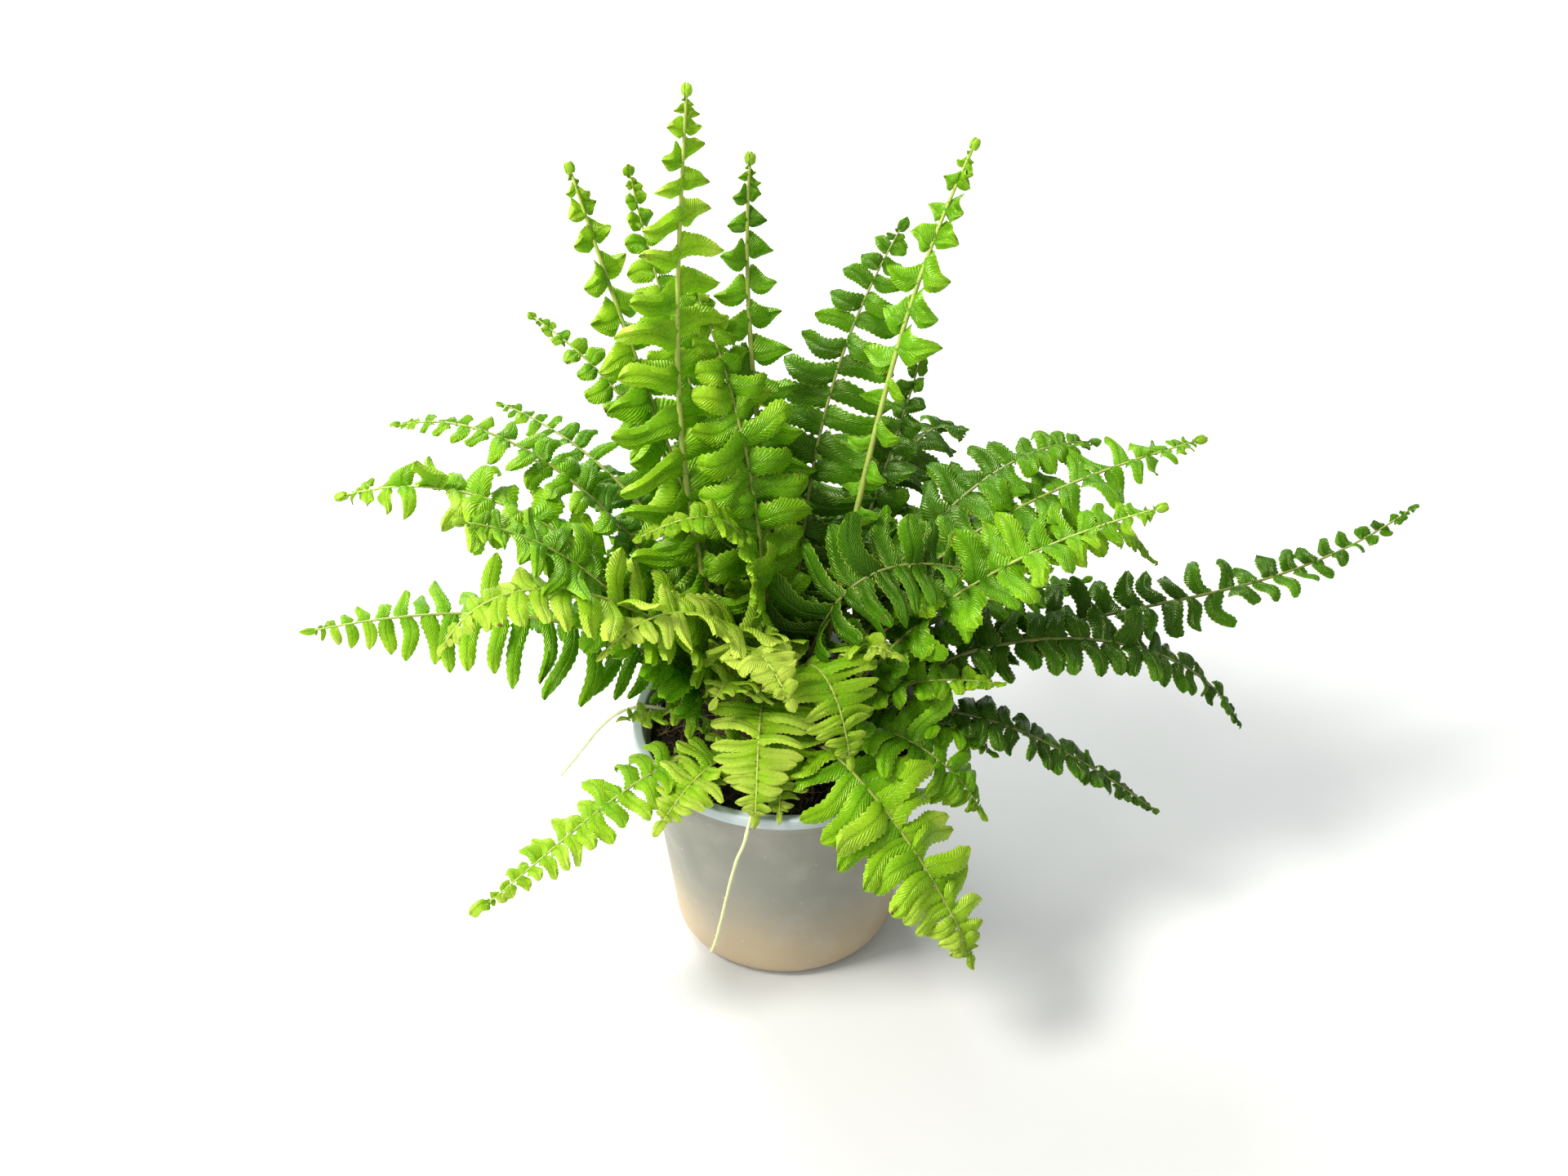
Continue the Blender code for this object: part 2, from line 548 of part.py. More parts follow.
def clear_stalk(frond, obstacles):
    """The frond's stalk, moved a little where it would touch another piece."""
    for moved in nudges(frond):
        stalk = Stalk(moved)
        shape = stalk_obstacle(moved, stalk)
        points = np.array([shape.low, shape.high])
        if not any(other.meets(shape.tree, *points) for other in obstacles):
            break
    return stalk, shape


def leaf_finish(frond):
    """Fresh green on the front and left, deeper green on the right and at the back."""
    if frond.name.startswith(("front", "small", "left_frond_4")):
        return LEAF_FRESH
    if frond.name.startswith(("back", "right_frond_4", "upright_frond_5", "centre_frond_1")):
        return LEAF_DEEP
    return LEAF_GREEN


def build_fronds(group, plant, fixed):
    """All the fronds, each one a solid of its own that is clear of the others."""
    stalks = []
    obstacles = list(fixed)
    for frond in FRONDS:
        stalk, shape = clear_stalk(frond, obstacles)
        stalks.append(stalk)
        obstacles.append(shape)
    for number, (frond, stalk) in enumerate(zip(FRONDS, stalks)):
        bm = flat_stalk(frond, stalk.length)
        own = len(fixed) + number
        others = obstacles[:own] + obstacles[own + 1:]
        grow_leaflets(bm, frond, stalk, others)
        for vert in bm.verts:
            vert.co = stalk.place(*vert.co)
        bmesh.ops.triangulate(bm, faces=bm.faces)
        bmesh.ops.recalc_face_normals(bm, faces=bm.faces)
        bm.verts.index_update()
        points = [vert.co.copy() for vert in bm.verts]
        faces = [[vert.index for vert in face.verts] for face in bm.faces]
        obstacles[own] = Obstacle(points, faces)
        mesh = bpy.data.meshes.new(frond.name)
        bm.to_mesh(mesh)
        bm.free()
        add_object(frond.name, mesh, leaf_finish(frond), group).parent = plant


# ---- Runners --------------------------------------------------------------------------------
def smooth_route(route, spacing):
    """Points at an even spacing along a smooth curve through the route's own points."""
    points = []
    for heading, past_rim, over_rim in route:
        point = direction(heading, 0.0) * (RIM_RADIUS + past_rim)
        point.z = SOIL_DROP + over_rim
        points.append(point)
    points = [points[0] * 2 - points[1], *points, points[-1] * 2 - points[-2]]
    dense = []
    for i in range(1, len(points) - 2):
        before, here, there, after = points[i - 1:i + 3]
        for step in range(8):
            t = step / 8
            dense.append(0.5 * (2 * here + (there - before) * t
                                + (2 * before - 5 * here + 4 * there - after) * t ** 2
                                + (3 * here - before - 3 * there + after) * t ** 3))
    dense.append(points[-2])
    even = [dense[0]]
    for point in dense:
        if (point - even[-1]).length >= spacing:
            even.append(point)
    return even


def build_runner(name, route, group, plant):
    """A runner: a thin stem with closed ends along its route."""
    curve = bpy.data.curves.new(name, "CURVE")
    curve.dimensions = "3D"
    curve.bevel_depth = RUNNER_THICKNESS * 0.5
    curve.bevel_resolution = 1
    curve.use_fill_caps = True
    points = smooth_route(route, RUNNER_SPACING)
    spline = curve.splines.new("POLY")
    spline.points.add(len(points) - 1)
    for number, (slot, point) in enumerate(zip(spline.points, points)):
        slot.co = (*point, 1.0)
        slot.radius = 1.0 - (1.0 - RUNNER_TIP) * number / (len(points) - 1)
    runner = add_object(name, curve, STOLON, group)
    runner.parent = plant
    return runner


def obstacle_from(thing, plant):
    """The evaluated solid of an object, measured from the crown, as an obstacle."""
    bpy.context.view_layer.update()
    graph = bpy.context.evaluated_depsgraph_get()
    seen = thing.evaluated_get(graph)
    mesh = seen.to_mesh()
    home = plant.matrix_world.inverted() @ thing.matrix_world
    points = [home @ vert.co for vert in mesh.vertices]
    faces = [list(face.vertices) for face in mesh.polygons]
    seen.to_mesh_clear()
    return Obstacle(points, faces)


def main():
    """Build the whole plant in its pot."""
    clear_scene()
    group = collection(COLLECTION)
    cutters = collection("cutters", hidden=True)
    plant = bpy.data.objects.new("plant", None)
    plant.location = (0.0, 0.0, SOIL_TOP)
    group.objects.link(plant)
    pot = build_pot(group, cutters)
    soil = build_soil(group)
    crown = build_crown(group)
    crown.parent = plant
    crown.location = (0.0, 0.0, FIT_GAP)
    runners = [build_runner("front_runner", FRONT_RUNNER, group, plant),
               build_runner("left_runner", LEFT_RUNNER, group, plant)]
    fixed = [obstacle_from(thing, plant) for thing in (pot, soil, crown, *runners)]
    build_fronds(group, plant, fixed)


main()
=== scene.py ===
"""A young sword fern in a plain growers' pot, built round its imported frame.

Metres, +Z up, the origin in the middle of the pot's flat base.  The fronds are measured from the
middle of the crown, at the soil's surface.
"""

from __future__ import annotations

import logging  # noqa: E402
import math  # noqa: E402
from dataclasses import asdict, dataclass, field  # noqa: E402
from enum import Enum  # noqa: E402
from typing import Any, Iterator  # noqa: E402

import bmesh  # noqa: E402
import bpy  # noqa: E402
import numpy as np  # noqa: E402
from mathutils import Matrix, Vector, noise  # noqa: E402
from mathutils.kdtree import KDTree  # noqa: E402


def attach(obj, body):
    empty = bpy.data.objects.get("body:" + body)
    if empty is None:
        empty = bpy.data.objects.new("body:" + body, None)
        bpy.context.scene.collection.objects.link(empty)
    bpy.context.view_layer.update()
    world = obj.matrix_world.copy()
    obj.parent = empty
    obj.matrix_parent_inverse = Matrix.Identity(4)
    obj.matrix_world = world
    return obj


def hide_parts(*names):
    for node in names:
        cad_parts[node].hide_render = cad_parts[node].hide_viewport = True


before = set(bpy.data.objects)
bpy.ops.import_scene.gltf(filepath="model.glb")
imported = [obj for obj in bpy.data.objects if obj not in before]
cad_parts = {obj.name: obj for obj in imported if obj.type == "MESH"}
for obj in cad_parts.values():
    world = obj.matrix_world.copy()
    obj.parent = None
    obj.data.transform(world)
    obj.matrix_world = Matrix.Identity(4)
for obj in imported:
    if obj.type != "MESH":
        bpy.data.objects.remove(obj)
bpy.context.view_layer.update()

LOG = logging.getLogger("potted_fern")
BODY = "root"
Array = np.ndarray
Colour = tuple[float, float, float]
Groups = dict[str, bpy.types.NodeTree]

# ---- Sizes shared by several pieces -----------------------------------------------------------
POT_HEIGHT = 0.100
RIM_RADIUS = 0.060
RIM_BAND = 0.005         # height of the rim's outer band
SOIL_DROP = 0.008        # from the top of the rim down to the soil
SOIL_TOP = POT_HEIGHT - SOIL_DROP
SOIL_FALL = 0.002        # how far the soil sinks towards the wall
FIT_GAP = 0.0003         # between pieces that meet
CROWN_RADIUS = 0.030
CROWN_HEIGHT = 0.016
STALK_BASE = 0.0022      # thickness of a stalk where it leaves the crown
STALK_TIP = 0.0012       # thickness of a stalk at its tip
BARE_SHARE = 0.16        # share of a stalk that is bare


@dataclass(frozen=True)
class Frond:
    """One frond, measured from the middle of the crown at the soil's surface."""

    name: str
    root: float      # heading of the stalk where it leaves the crown, degrees from +X
    rise: float      # steepness of the stalk there, degrees
    heading: float   # heading of the tip, degrees
    reach: float     # distance of the tip from the pot's axis
    height: float    # height of the tip over the soil
    turn: float      # how far the tip points away from its heading, degrees
    dip: float       # steepness of the tip, degrees, negative where it hangs
    roll: float      # turn of the leaflets about the stalk, degrees
    droop: float     # how far the leaflets hang below the stalk's own plane, degrees
    leaflet: float   # length of the longest leaflet
    pairs: int       # leaflets on each side
    bow: float       # how far the arch swells, 1 for a plain one
    blunt: float     # width of a leaflet's end over its base
    # Low tones mark older fronds; on the fronds at the right they also paint in their shade.
    tone: float      # 0 for the deepest green, 1 for fresh lime
    coiled: bool = False    # True where the tip hasn't unrolled yet

    @property
    def young(self) -> bool:
        """Whether its leaflets are still narrow, as on the newest upright fronds."""
        return self.blunt < 0.38


# Each family has a row for each of its fronds, with the fields above after the name.
FAMILIES: dict[str, tuple[tuple[Any, ...], ...]] = {
    "upright": (
        (175, 72, 120, 0.070, 0.245, -60, 82, 0, 0, 0.024, 14, 1.0, 0.35, 0.66, True),
        (165, 76, 135, 0.112, 0.205, 0, 66, 0, 0, 0.021, 11, 1.0, 0.25, 0.6, True),
        (15, 78, 50, 0.108, 0.213, -15, 60, 0, 0, 0.021, 12, 1.0, 0.25, 0.46, True),
        (100, 80, 100, 0.074, 0.212, -30, 78, 0, 0, 0.018, 12, 1.0, 0.25, 0.38, True),
        (75, 80, 65, 0.105, 0.173, -20, 45, 0, 5, 0.027, 16, 1.0, 0.45, 0.2),
        (122, 76, 115, 0.145, 0.178, 0, 60, 0, 0, 0.018, 15, 1.0, 0.40, 0.5),
        (45, 72, 60, 0.110, 0.119, 0, 60, 0, 0, 0.015, 12, 1.0, 0.40, 0.18),
        (130, 84, 120, 0.068, 0.169, 0, 40, 0, 5, 0.023, 14, 1.0, 0.45, 0.5),
    ),
    "left": (
        (178, 54, 185, 0.177, 0.064, 0, -10, -15, 25, 0.028, 17, 1.0, 0.50, 0.54),
        (190, 64, 175, 0.165, 0.105, 0, -20, 0, 10, 0.026, 15, 1.1, 0.45, 0.6, True),
        (208, 58, 190, 0.117, 0.117, 0, 15, 0, 10, 0.026, 14, 1.0, 0.45, 0.42, True),
        (203, 72, 200, 0.131, 0.080, 0, -60, 0, 15, 0.024, 16, 1.1, 0.45, 0.78),
        (160, 66, 160, 0.159, 0.110, 0, -25, 0, 10, 0.020, 17, 1.0, 0.45, 0.5),
        (140, 66, 140, 0.149, 0.093, 0, -5, 0, 10, 0.020, 16, 1.0, 0.45, 0.35),
        (142, 75, 140, 0.127, 0.142, 0, 10, 0, 0, 0.016, 15, 1.0, 0.40, 0.45),
    ),
    # The low tones of these right-hand fronds are partly painted shade.
    "right": (
        (5, 40, 15, 0.262, 0.061, 0, 35, 10, 0, 0.018, 22, 1.0, 0.45, 0.08),
        (20, 68, 20, 0.171, 0.100, 0, 5, 0, 10, 0.025, 16, 1.0, 0.40, 0.38, True),
        (352, 64, 5, 0.140, 0.100, 0, 15, 0, 10, 0.024, 15, 1.0, 0.45, 0.46, True),
        (355, 52, 5, 0.184, -0.008, 0, -65, 10, 10, 0.018, 20, 1.1, 0.50, 0.0),
        (342, 46, 355, 0.148, -0.029, 0, -40, 0, 10, 0.014, 18, 1.0, 0.50, 0.03),
        (5, 70, 15, 0.149, 0.058, 0, -70, 0, 10, 0.022, 15, 1.0, 0.45, 0.55),
        (32, 66, 30, 0.140, 0.092, 0, -20, 0, 10, 0.024, 15, 1.0, 0.45, 0.28),
        (15, 58, 20, 0.127, 0.043, 0, -5, 0, 10, 0.018, 14, 1.0, 0.45, 0.3),
    ),
    "front": (
        (288, 58, 308, 0.113, -0.034, 10, -65, 0, 10, 0.028, 14, 1.0, 0.50, 0.68),
        (225, 40, 215, 0.136, -0.017, 0, -20, 0, 10, 0.016, 16, 1.0, 0.50, 0.68),
        (290, 84, 295, 0.057, 0.032, 0, -75, 0, 5, 0.023, 14, 2.0, 0.55, 0.7),
        (230, 80, 260, 0.063, 0.012, 0, -75, 0, 5, 0.020, 13, 1.3, 0.55, 0.80),
        (322, 56, 330, 0.086, -0.001, 0, -60, 0, 10, 0.024, 11, 1.1, 0.50, 0.45),
        (278, 68, 268, 0.060, 0.012, 0, -50, 0, 5, 0.016, 10, 1.0, 0.55, 0.85),
        (200, 78, 272, 0.050, 0.058, 40, -50, 0, 5, 0.018, 12, 1.4, 0.50, 0.96),
        (238, 46, 235, 0.079, 0.012, 0, -30, 0, 10, 0.017, 10, 1.0, 0.50, 0.8),
    ),
    "centre": (
        (350, 84, 8, 0.085, 0.066, 0, -30, 20, 5, 0.026, 14, 1.6, 0.50, 0.15),
        (250, 84, 210, 0.075, 0.072, 0, -40, 0, 5, 0.022, 13, 1.2, 0.50, 0.92),
        (195, 84, 192, 0.054, 0.104, 0, -25, 0, 5, 0.015, 14, 1.5, 0.55, 0.6),
        (88, 72, 84, 0.074, 0.071, 0, -20, 0, 5, 0.020, 12, 1.0, 0.50, 0.18),
    ),
    "small": (
        (334, 62, 345, 0.083, 0.043, 0, 0, 0, 5, 0.013, 9, 1.0, 0.50, 0.5),
        (320, 72, 330, 0.047, 0.059, 0, -20, 0, 5, 0.015, 8, 1.0, 0.50, 0.8),
        (198, 50, 200, 0.064, 0.026, 0, -10, 0, 5, 0.015, 8, 1.0, 0.50, 0.7),
        (250, 52, 240, 0.056, 0.016, 0, -20, 0, 5, 0.014, 7, 1.0, 0.50, 0.75),
        (330, 48, 345, 0.082, 0.009, 0, -50, 0, 5, 0.015, 10, 1.0, 0.50, 0.4),
        (225, 72, 235, 0.045, 0.048, 0, -40, 0, 5, 0.017, 9, 1.0, 0.50, 0.8),
        (308, 50, 318, 0.050, 0.014, 0, -30, 0, 5, 0.013, 7, 1.0, 0.50, 0.5),
        (115, 50, 112, 0.078, 0.012, 0, -30, 0, 5, 0.018, 9, 1.0, 0.50, 0.3),
    ),
    "back": (
        (76, 62, 72, 0.160, 0.040, 0, -50, 0, 10, 0.024, 16, 1.0, 0.45, 0.15),
        (100, 58, 98, 0.170, 0.050, 0, -40, 0, 10, 0.024, 17, 1.0, 0.45, 0.25),
        (125, 58, 124, 0.150, 0.030, 0, -50, 0, 10, 0.022, 15, 1.0, 0.45, 0.2),
        (50, 56, 45, 0.165, 0.015, 0, -50, 0, 10, 0.022, 16, 1.0, 0.45, 0.3),
        (62, 72, 60, 0.149, 0.058, 0, -50, 0, 10, 0.022, 15, 1.0, 0.45, 0.05),
        (150, 52, 152, 0.128, 0.008, 0, -45, 0, 10, 0.020, 13, 1.0, 0.50, 0.25),
        (86, 46, 84, 0.112, -0.012, 0, -55, 0, 10, 0.021, 11, 1.0, 0.50, 0.15),
    ),
}
FRONDS = tuple(Frond(f"{family}_frond_{number}", *row)
               for family, rows in FAMILIES.items() for number, row in enumerate(rows, 1))

# Leaflets that stand out of the ranks: (frond, number from the foot, side) to (lift in degrees,
# length over its neighbours').
STRAYS = {
    ("left_frond_2", 11, 1): (80.0, 1.3),
    ("left_frond_2", 9, 1): (10.0, 1.5),
    ("left_frond_1", 8, -1): (35.0, 1.0),
}
# Breadth of a frond's leaflets over the usual. Under 1 they stand apart, over 1 they overlap.
BREADTHS = {
    "upright_frond_5": 0.86, "upright_frond_6": 0.88, "left_frond_1": 0.74, "left_frond_5": 0.74,
    "left_frond_6": 0.74, "left_frond_7": 0.84, "right_frond_1": 0.74, "right_frond_2": 0.90,
    "right_frond_4": 0.82, "front_frond_1": 1.20, "front_frond_2": 0.94, "front_frond_3": 1.06,
    "front_frond_4": 1.12, "front_frond_7": 1.25, "front_frond_8": 1.10, "centre_frond_1": 0.84,
    "centre_frond_3": 1.05, "small_frond_2": 1.30,
}
# The leaflet that ends a frond: its length and its breadth over its neighbours'.
END_LEAFLET = (0.95, 0.8)
LONG_ENDS = {"front_frond_2": (1.9, 1.2), "front_frond_8": (1.4, 1.1)}
SPARSE_BELOW = "upright_frond_3"      # its lower leaflets stayed small
CALM = {"front_frond_3", "front_frond_4", "centre_frond_2", "centre_frond_3", "right_frond_5"}


class LeafSlot(Enum):
    """The three leaf finishes, by how fresh a frond's green is."""

    FRESH = "leaf_fresh"
    GREEN = "leaf_green"
    DEEP = "leaf_deep"

    @staticmethod
    def of(frond: Frond) -> LeafSlot:
        """The slot that a frond's node has."""
        if frond.name.startswith(("front", "small", "left_frond_4")):
            return LeafSlot.FRESH
        deep = ("back", "right_frond_4", "upright_frond_5", "centre_frond_1")
        return LeafSlot.DEEP if frond.name.startswith(deep) else LeafSlot.GREEN


# ---- Node helpers -----------------------------------------------------------------------------
class Graph:
    """Short calls for the nodes of one material or node group."""

    def __init__(self, tree: bpy.types.NodeTree) -> None:
        """Work on a node tree."""
        self.tree = tree

    def node(self, kind: str, inputs: dict[Any, Any] | None = None, **settings: Any) -> Any:
        """Add a shader node.

        Args:
            kind: the node's type without its ShaderNode prefix.
            inputs: values or sockets for its inputs, by name or number.
            **settings: the node's own properties.

        Returns:
            The node.
        """
        made = self.tree.nodes.new("ShaderNode" + kind)
        for key, value in settings.items():
            setattr(made, key, value)
        for key, value in (inputs or {}).items():
            if isinstance(value, bpy.types.NodeSocket):
                self.tree.links.new(value, made.inputs[key])
            else:
                made.inputs[key].default_value = value
        return made

    def math(self, operation: str, a: Any, b: Any = 0.0) -> Any:
        """The result of a Math node on two values or sockets."""
        return self.node("Math", {0: a, 1: b}, operation=operation).outputs[0]

    def plus(self, value: Any, other: Any, share: float = 1.0) -> Any:
        """A value with a share of another added to it."""
        inputs = {0: other, 1: share, 2: value}
        return self.node("Math", inputs, operation="MULTIPLY_ADD").outputs[0]

    def mix(self, share: Any, a: Any, b: Any) -> Any:
        """Colour a turning into colour b by share."""
        inputs = {0: share, 6: paint(a), 7: paint(b)}
        return self.node("Mix", inputs, data_type="RGBA").outputs[2]

    def fit(self, value: Any, low: float, high: float, to: tuple[float, float] = (0.0, 1.0)) -> Any:
        """A value moved smoothly from one range to another, and held at its ends."""
        inputs = {0: value, 1: low, 2: high, 3: to[0], 4: to[1]}
        return self.node("MapRange", inputs, interpolation_type="SMOOTHSTEP").outputs[0]

    def shades(self, value: Any, colours: tuple[Colour, ...]) -> Any:
        """A colour that follows a value through evenly spaced shades."""
        made = self.node("ValToRGB", {0: value})
        band = made.color_ramp.elements
        while len(band) < len(colours):
            band.new(0.5)
        for number, (element, colour) in enumerate(zip(band, colours)):
            element.position = number / (len(colours) - 1)
            element.color = (*colour, 1.0)
        return made.outputs[0]

    def noise(self, vector: Any, scale: float, detail: float = 2.0) -> Any:
        """The value of a noise at a scale, in turns over a metre."""
        inputs = {"Vector": vector, "Scale": scale, "Detail": detail}
        return self.node("TexNoise", inputs).outputs[0]

    def attribute(self, name: str) -> Any:
        """A number stored on the mesh."""
        return self.node("Attribute", attribute_name=name).outputs["Fac"]

    def place(self) -> Any:
        """Object coordinates."""
        return self.node("TexCoord").outputs["Object"]

    def bump(self, height: Any, strength: float, distance: float) -> Any:
        """The normal of a bumped surface."""
        inputs = {"Height": height, "Strength": strength, "Distance": distance}
        return self.node("Bump", inputs).outputs[0]

    def wire(self, shader: Any, sockets: dict[str, Any]) -> None:
        """Link values to a shader's or a group's sockets."""
        for name, value in sockets.items():
            self.tree.links.new(value, shader.inputs[name])


def paint(colour: Any) -> Any:
    """A colour with its alpha, or a socket as it is."""
    return (*colour, 1.0) if isinstance(colour, tuple) and len(colour) == 3 else colour


def group(name: str, inputs: list[tuple[str, str]], outputs: list[tuple[str, str]]
          ) -> tuple[Graph, Any, Any]:
    """Start a node group with named sockets.

    Args:
        name: the group's name.
        inputs: names and kinds (Float, Vector, Color) of its inputs.
        outputs: names and kinds of its outputs.

    Returns:
        The group's graph, its input node and its output node.
    """
    tree = bpy.data.node_groups.new(name, "ShaderNodeTree")
    for way, sockets in (("INPUT", inputs), ("OUTPUT", outputs)):
        for title, kind in sockets:
            tree.interface.new_socket(title, in_out=way, socket_type="NodeSocket" + kind)
    return Graph(tree), tree.nodes.new("NodeGroupInput"), tree.nodes.new("NodeGroupOutput")


RIB_HALF = 0.10                # half the rib's breadth, over the blade's
VEIN_HALF = 0.22               # half a side vein's breadth, over the veins' spacing
VEIN_LEAN = 0.55               # how far side veins run forward on their way to the margin
VEIN_CURVE = 0.8
MARGIN_BAND = (0.42, 0.50)     # where the pale margin starts and ends, from the rib


def vein_group() -> bpy.types.NodeTree:
    """Leaflet veins: a midrib and forked side veins that run out and forward to the margin."""
    graph, given, out = group(
        "leaflet_veins", [("Blade", "Vector"), ("Vein Pairs", "Float")],
        [("Midrib", "Float"), ("Side Veins", "Float"), ("Margin", "Float"), ("Height", "Float")])
    blade = graph.node("SeparateXYZ", {0: given.outputs["Blade"]})
    across = graph.math("ABSOLUTE", graph.math("SUBTRACT", blade.outputs[1], 0.5))
    midrib = graph.fit(across, 0.0, RIB_HALF, (1.0, 0.0))
    lean = graph.math("MULTIPLY", graph.math("POWER", across, VEIN_CURVE), VEIN_LEAN)
    along = graph.math("SUBTRACT", blade.outputs[0], lean)
    turns = graph.math("MULTIPLY", along, given.outputs["Vein Pairs"])
    ridge = graph.math("PINGPONG", turns, 0.5)
    veins = graph.fit(ridge, 0.0, VEIN_HALF, (1.0, 0.0))
    fading = graph.fit(across, 0.40, 0.48, (1.0, 0.25))
    veins = graph.math("MULTIPLY", veins, fading)
    margin = graph.fit(across, *MARGIN_BAND)
    pillow = graph.math("MULTIPLY", graph.fit(ridge, 0.0, 0.5), 0.45)
    height = graph.math("SUBTRACT", pillow, graph.math("MULTIPLY", midrib, 0.8))
    graph.wire(out, {"Midrib": midrib, "Side Veins": veins, "Margin": margin, "Height": height})
    return graph.tree


def mottle_group() -> bpy.types.NodeTree:
    """Uneven tint: broad clouds and a fine grain, each about zero."""
    graph, given, out = group(
        "mottle", [("Vector", "Vector"), ("Broad Scale", "Float"), ("Fine Scale", "Float")],
        [("Broad", "Float"), ("Fine", "Float")])
    for title in ("Broad", "Fine"):
        inputs = {"Vector": given.outputs["Vector"], "Scale": given.outputs[title + " Scale"],
                  "Detail": 3.0}
        value = graph.node("TexNoise", inputs).outputs[0]
        graph.wire(out, {title: graph.math("SUBTRACT", value, 0.5)})
    return graph.tree


@dataclass(frozen=True)
class Finish:
    """One finish: its gloss and its shades, apart from its pattern."""

    name: str
    roughness: float
    shades: tuple[Colour, ...] = ()
    shine: float = 0.5
    shine_tint: Colour = (1.0, 1.0, 1.0)

    def start(self, groups: Groups, broad: float, fine: float
              ) -> tuple[bpy.types.Material, Graph, Any, Any, Any]:
        """Make the material with its constant values and its mottle.

        Args:
            groups: the shared node groups.
            broad: scale of the mottle's clouds, in turns over a metre.
            fine: scale of its grain.

        Returns:
            The material, its graph, its Principled node, its clouds and its grain.
        """
        made = bpy.data.materials.new(self.name)
        made.use_nodes = True
        shader = made.node_tree.nodes["Principled BSDF"]
        shader.inputs["Roughness"].default_value = self.roughness
        shader.inputs["Specular IOR Level"].default_value = self.shine
        shader.inputs["Specular Tint"].default_value = (*self.shine_tint, 1.0)
        graph = Graph(made.node_tree)
        inputs = {"Vector": graph.place(), "Broad Scale": broad, "Fine Scale": fine}
        mottle = graph.node("Group", inputs, node_tree=groups["mottle"])
        return made, graph, shader, mottle.outputs["Broad"], mottle.outputs["Fine"]


@dataclass(frozen=True)
class LeafFinish(Finish):
    """A leaflet's upper or lower face."""

    translucent: float = 0.42
    veins: float = 15.0            # pairs of side veins
    vein: Colour = (0.14, 0.38, 0.004)
    vein_share: float = 0.3
    rib: Colour = (0.12, 0.28, 0.01)
    rib_share: float = 0.14
    margin: Colour = (0.58, 0.74, 0.08)
    margin_share: float = 0.42
    scorch: Colour = (0.16, 0.07, 0.02)
    cloudiness: float = 0.35       # how far the clouds shift the tone
    grain: float = 0.30            # how far the grain does
    dullness: float = 0.25         # how far the grain changes the roughness
    pimples: float = 0.6           # height of the grain over the veins'
    relief: float = 0.85
    relief_depth: float = 0.0005

    def make(self, groups: Groups) -> bpy.types.Material:
        """Build the leaf material from the shared groups."""
        made, graph, shader, clouds, grain = self.start(groups, broad=70.0, fine=900.0)
        blade = graph.node("UVMap", uv_map="blade").outputs[0]
        veins = graph.node("Group", {"Blade": blade, "Vein Pairs": self.veins},
                           node_tree=groups["veins"]).outputs
        tone = graph.plus(graph.attribute("tone"), clouds, self.cloudiness)
        colour = graph.shades(graph.plus(tone, grain, self.grain), self.shades)
        for part, tint, share in (("Side Veins", self.vein, self.vein_share),
                                  ("Midrib", self.rib, self.rib_share),
                                  ("Margin", self.margin, self.margin_share)):
            colour = graph.mix(graph.math("MULTIPLY", veins[part], share), colour, tint)
        blotches = graph.fit(graph.noise(graph.place(), 330.0, 3.0), 0.52, 0.66)
        scorched = graph.math("MULTIPLY", graph.attribute("wear"), blotches)
        colour = graph.mix(scorched, colour, self.scorch)
        height = graph.plus(veins["Height"], grain, self.pimples)
        normal = graph.bump(height, self.relief, self.relief_depth)
        graph.wire(shader, {"Base Color": colour, "Normal": normal,
                            "Roughness": graph.plus(self.roughness, grain, self.dullness)})
        through = graph.node("BsdfTranslucent", {"Color": colour, "Normal": normal})
        blend = graph.node("MixShader", {0: self.translucent, 1: shader.outputs[0],
                                         2: through.outputs[0]})
        graph.wire(made.node_tree.nodes["Material Output"], {"Surface": blend.outputs[0]})
        return made


@dataclass(frozen=True)
class StemFinish(Finish):
    """A stalk or a runner: clouded and flecked, and browned at its foot."""

    foot: Colour = (0.14, 0.08, 0.03)
    browning: float = 0.8
    fleck: Colour = (0.17, 0.10, 0.04)
    fleck_share: float = 0.5
    cloudiness: float = 0.5

    def make(self, groups: Groups) -> bpy.types.Material:
        """Build the stem material from the shared groups."""
        made, graph, shader, clouds, grain = self.start(groups, broad=160.0, fine=1400.0)
        tone = graph.plus(graph.attribute("tone"), clouds, self.cloudiness)
        colour = graph.shades(tone, self.shades)
        along = graph.plus(graph.attribute("along"), clouds)
        brown = graph.fit(along, -0.1, 0.35, (self.browning, 0.0))
        colour = graph.mix(brown, colour, self.foot)
        flecks = graph.fit(grain, 0.10, 0.22, (0.0, self.fleck_share))
        colour = graph.mix(flecks, colour, self.fleck)
        normal = graph.bump(graph.plus(grain, clouds), 0.5, 0.0003)
        graph.wire(shader, {"Base Color": colour, "Normal": normal})
        return made


@dataclass(frozen=True)
class GrainFinish(Finish):
    """Soil, bark or scales: a grain between some shades, with relief."""

    scale: float = 300.0
    cloudiness: float = 1.2
    relief: float = 0.8

    def make(self, groups: Groups) -> bpy.types.Material:
        """Build the grainy material from the shared groups."""
        made, graph, shader, clouds, grain = self.start(groups, self.scale, self.scale * 6.0)
        tone = graph.plus(graph.attribute("tone"), clouds, self.cloudiness)
        normal = graph.bump(graph.plus(clouds, grain), self.relief, 0.0006)
        graph.wire(shader, {"Base Color": graph.shades(tone, self.shades), "Normal": normal})
        return made


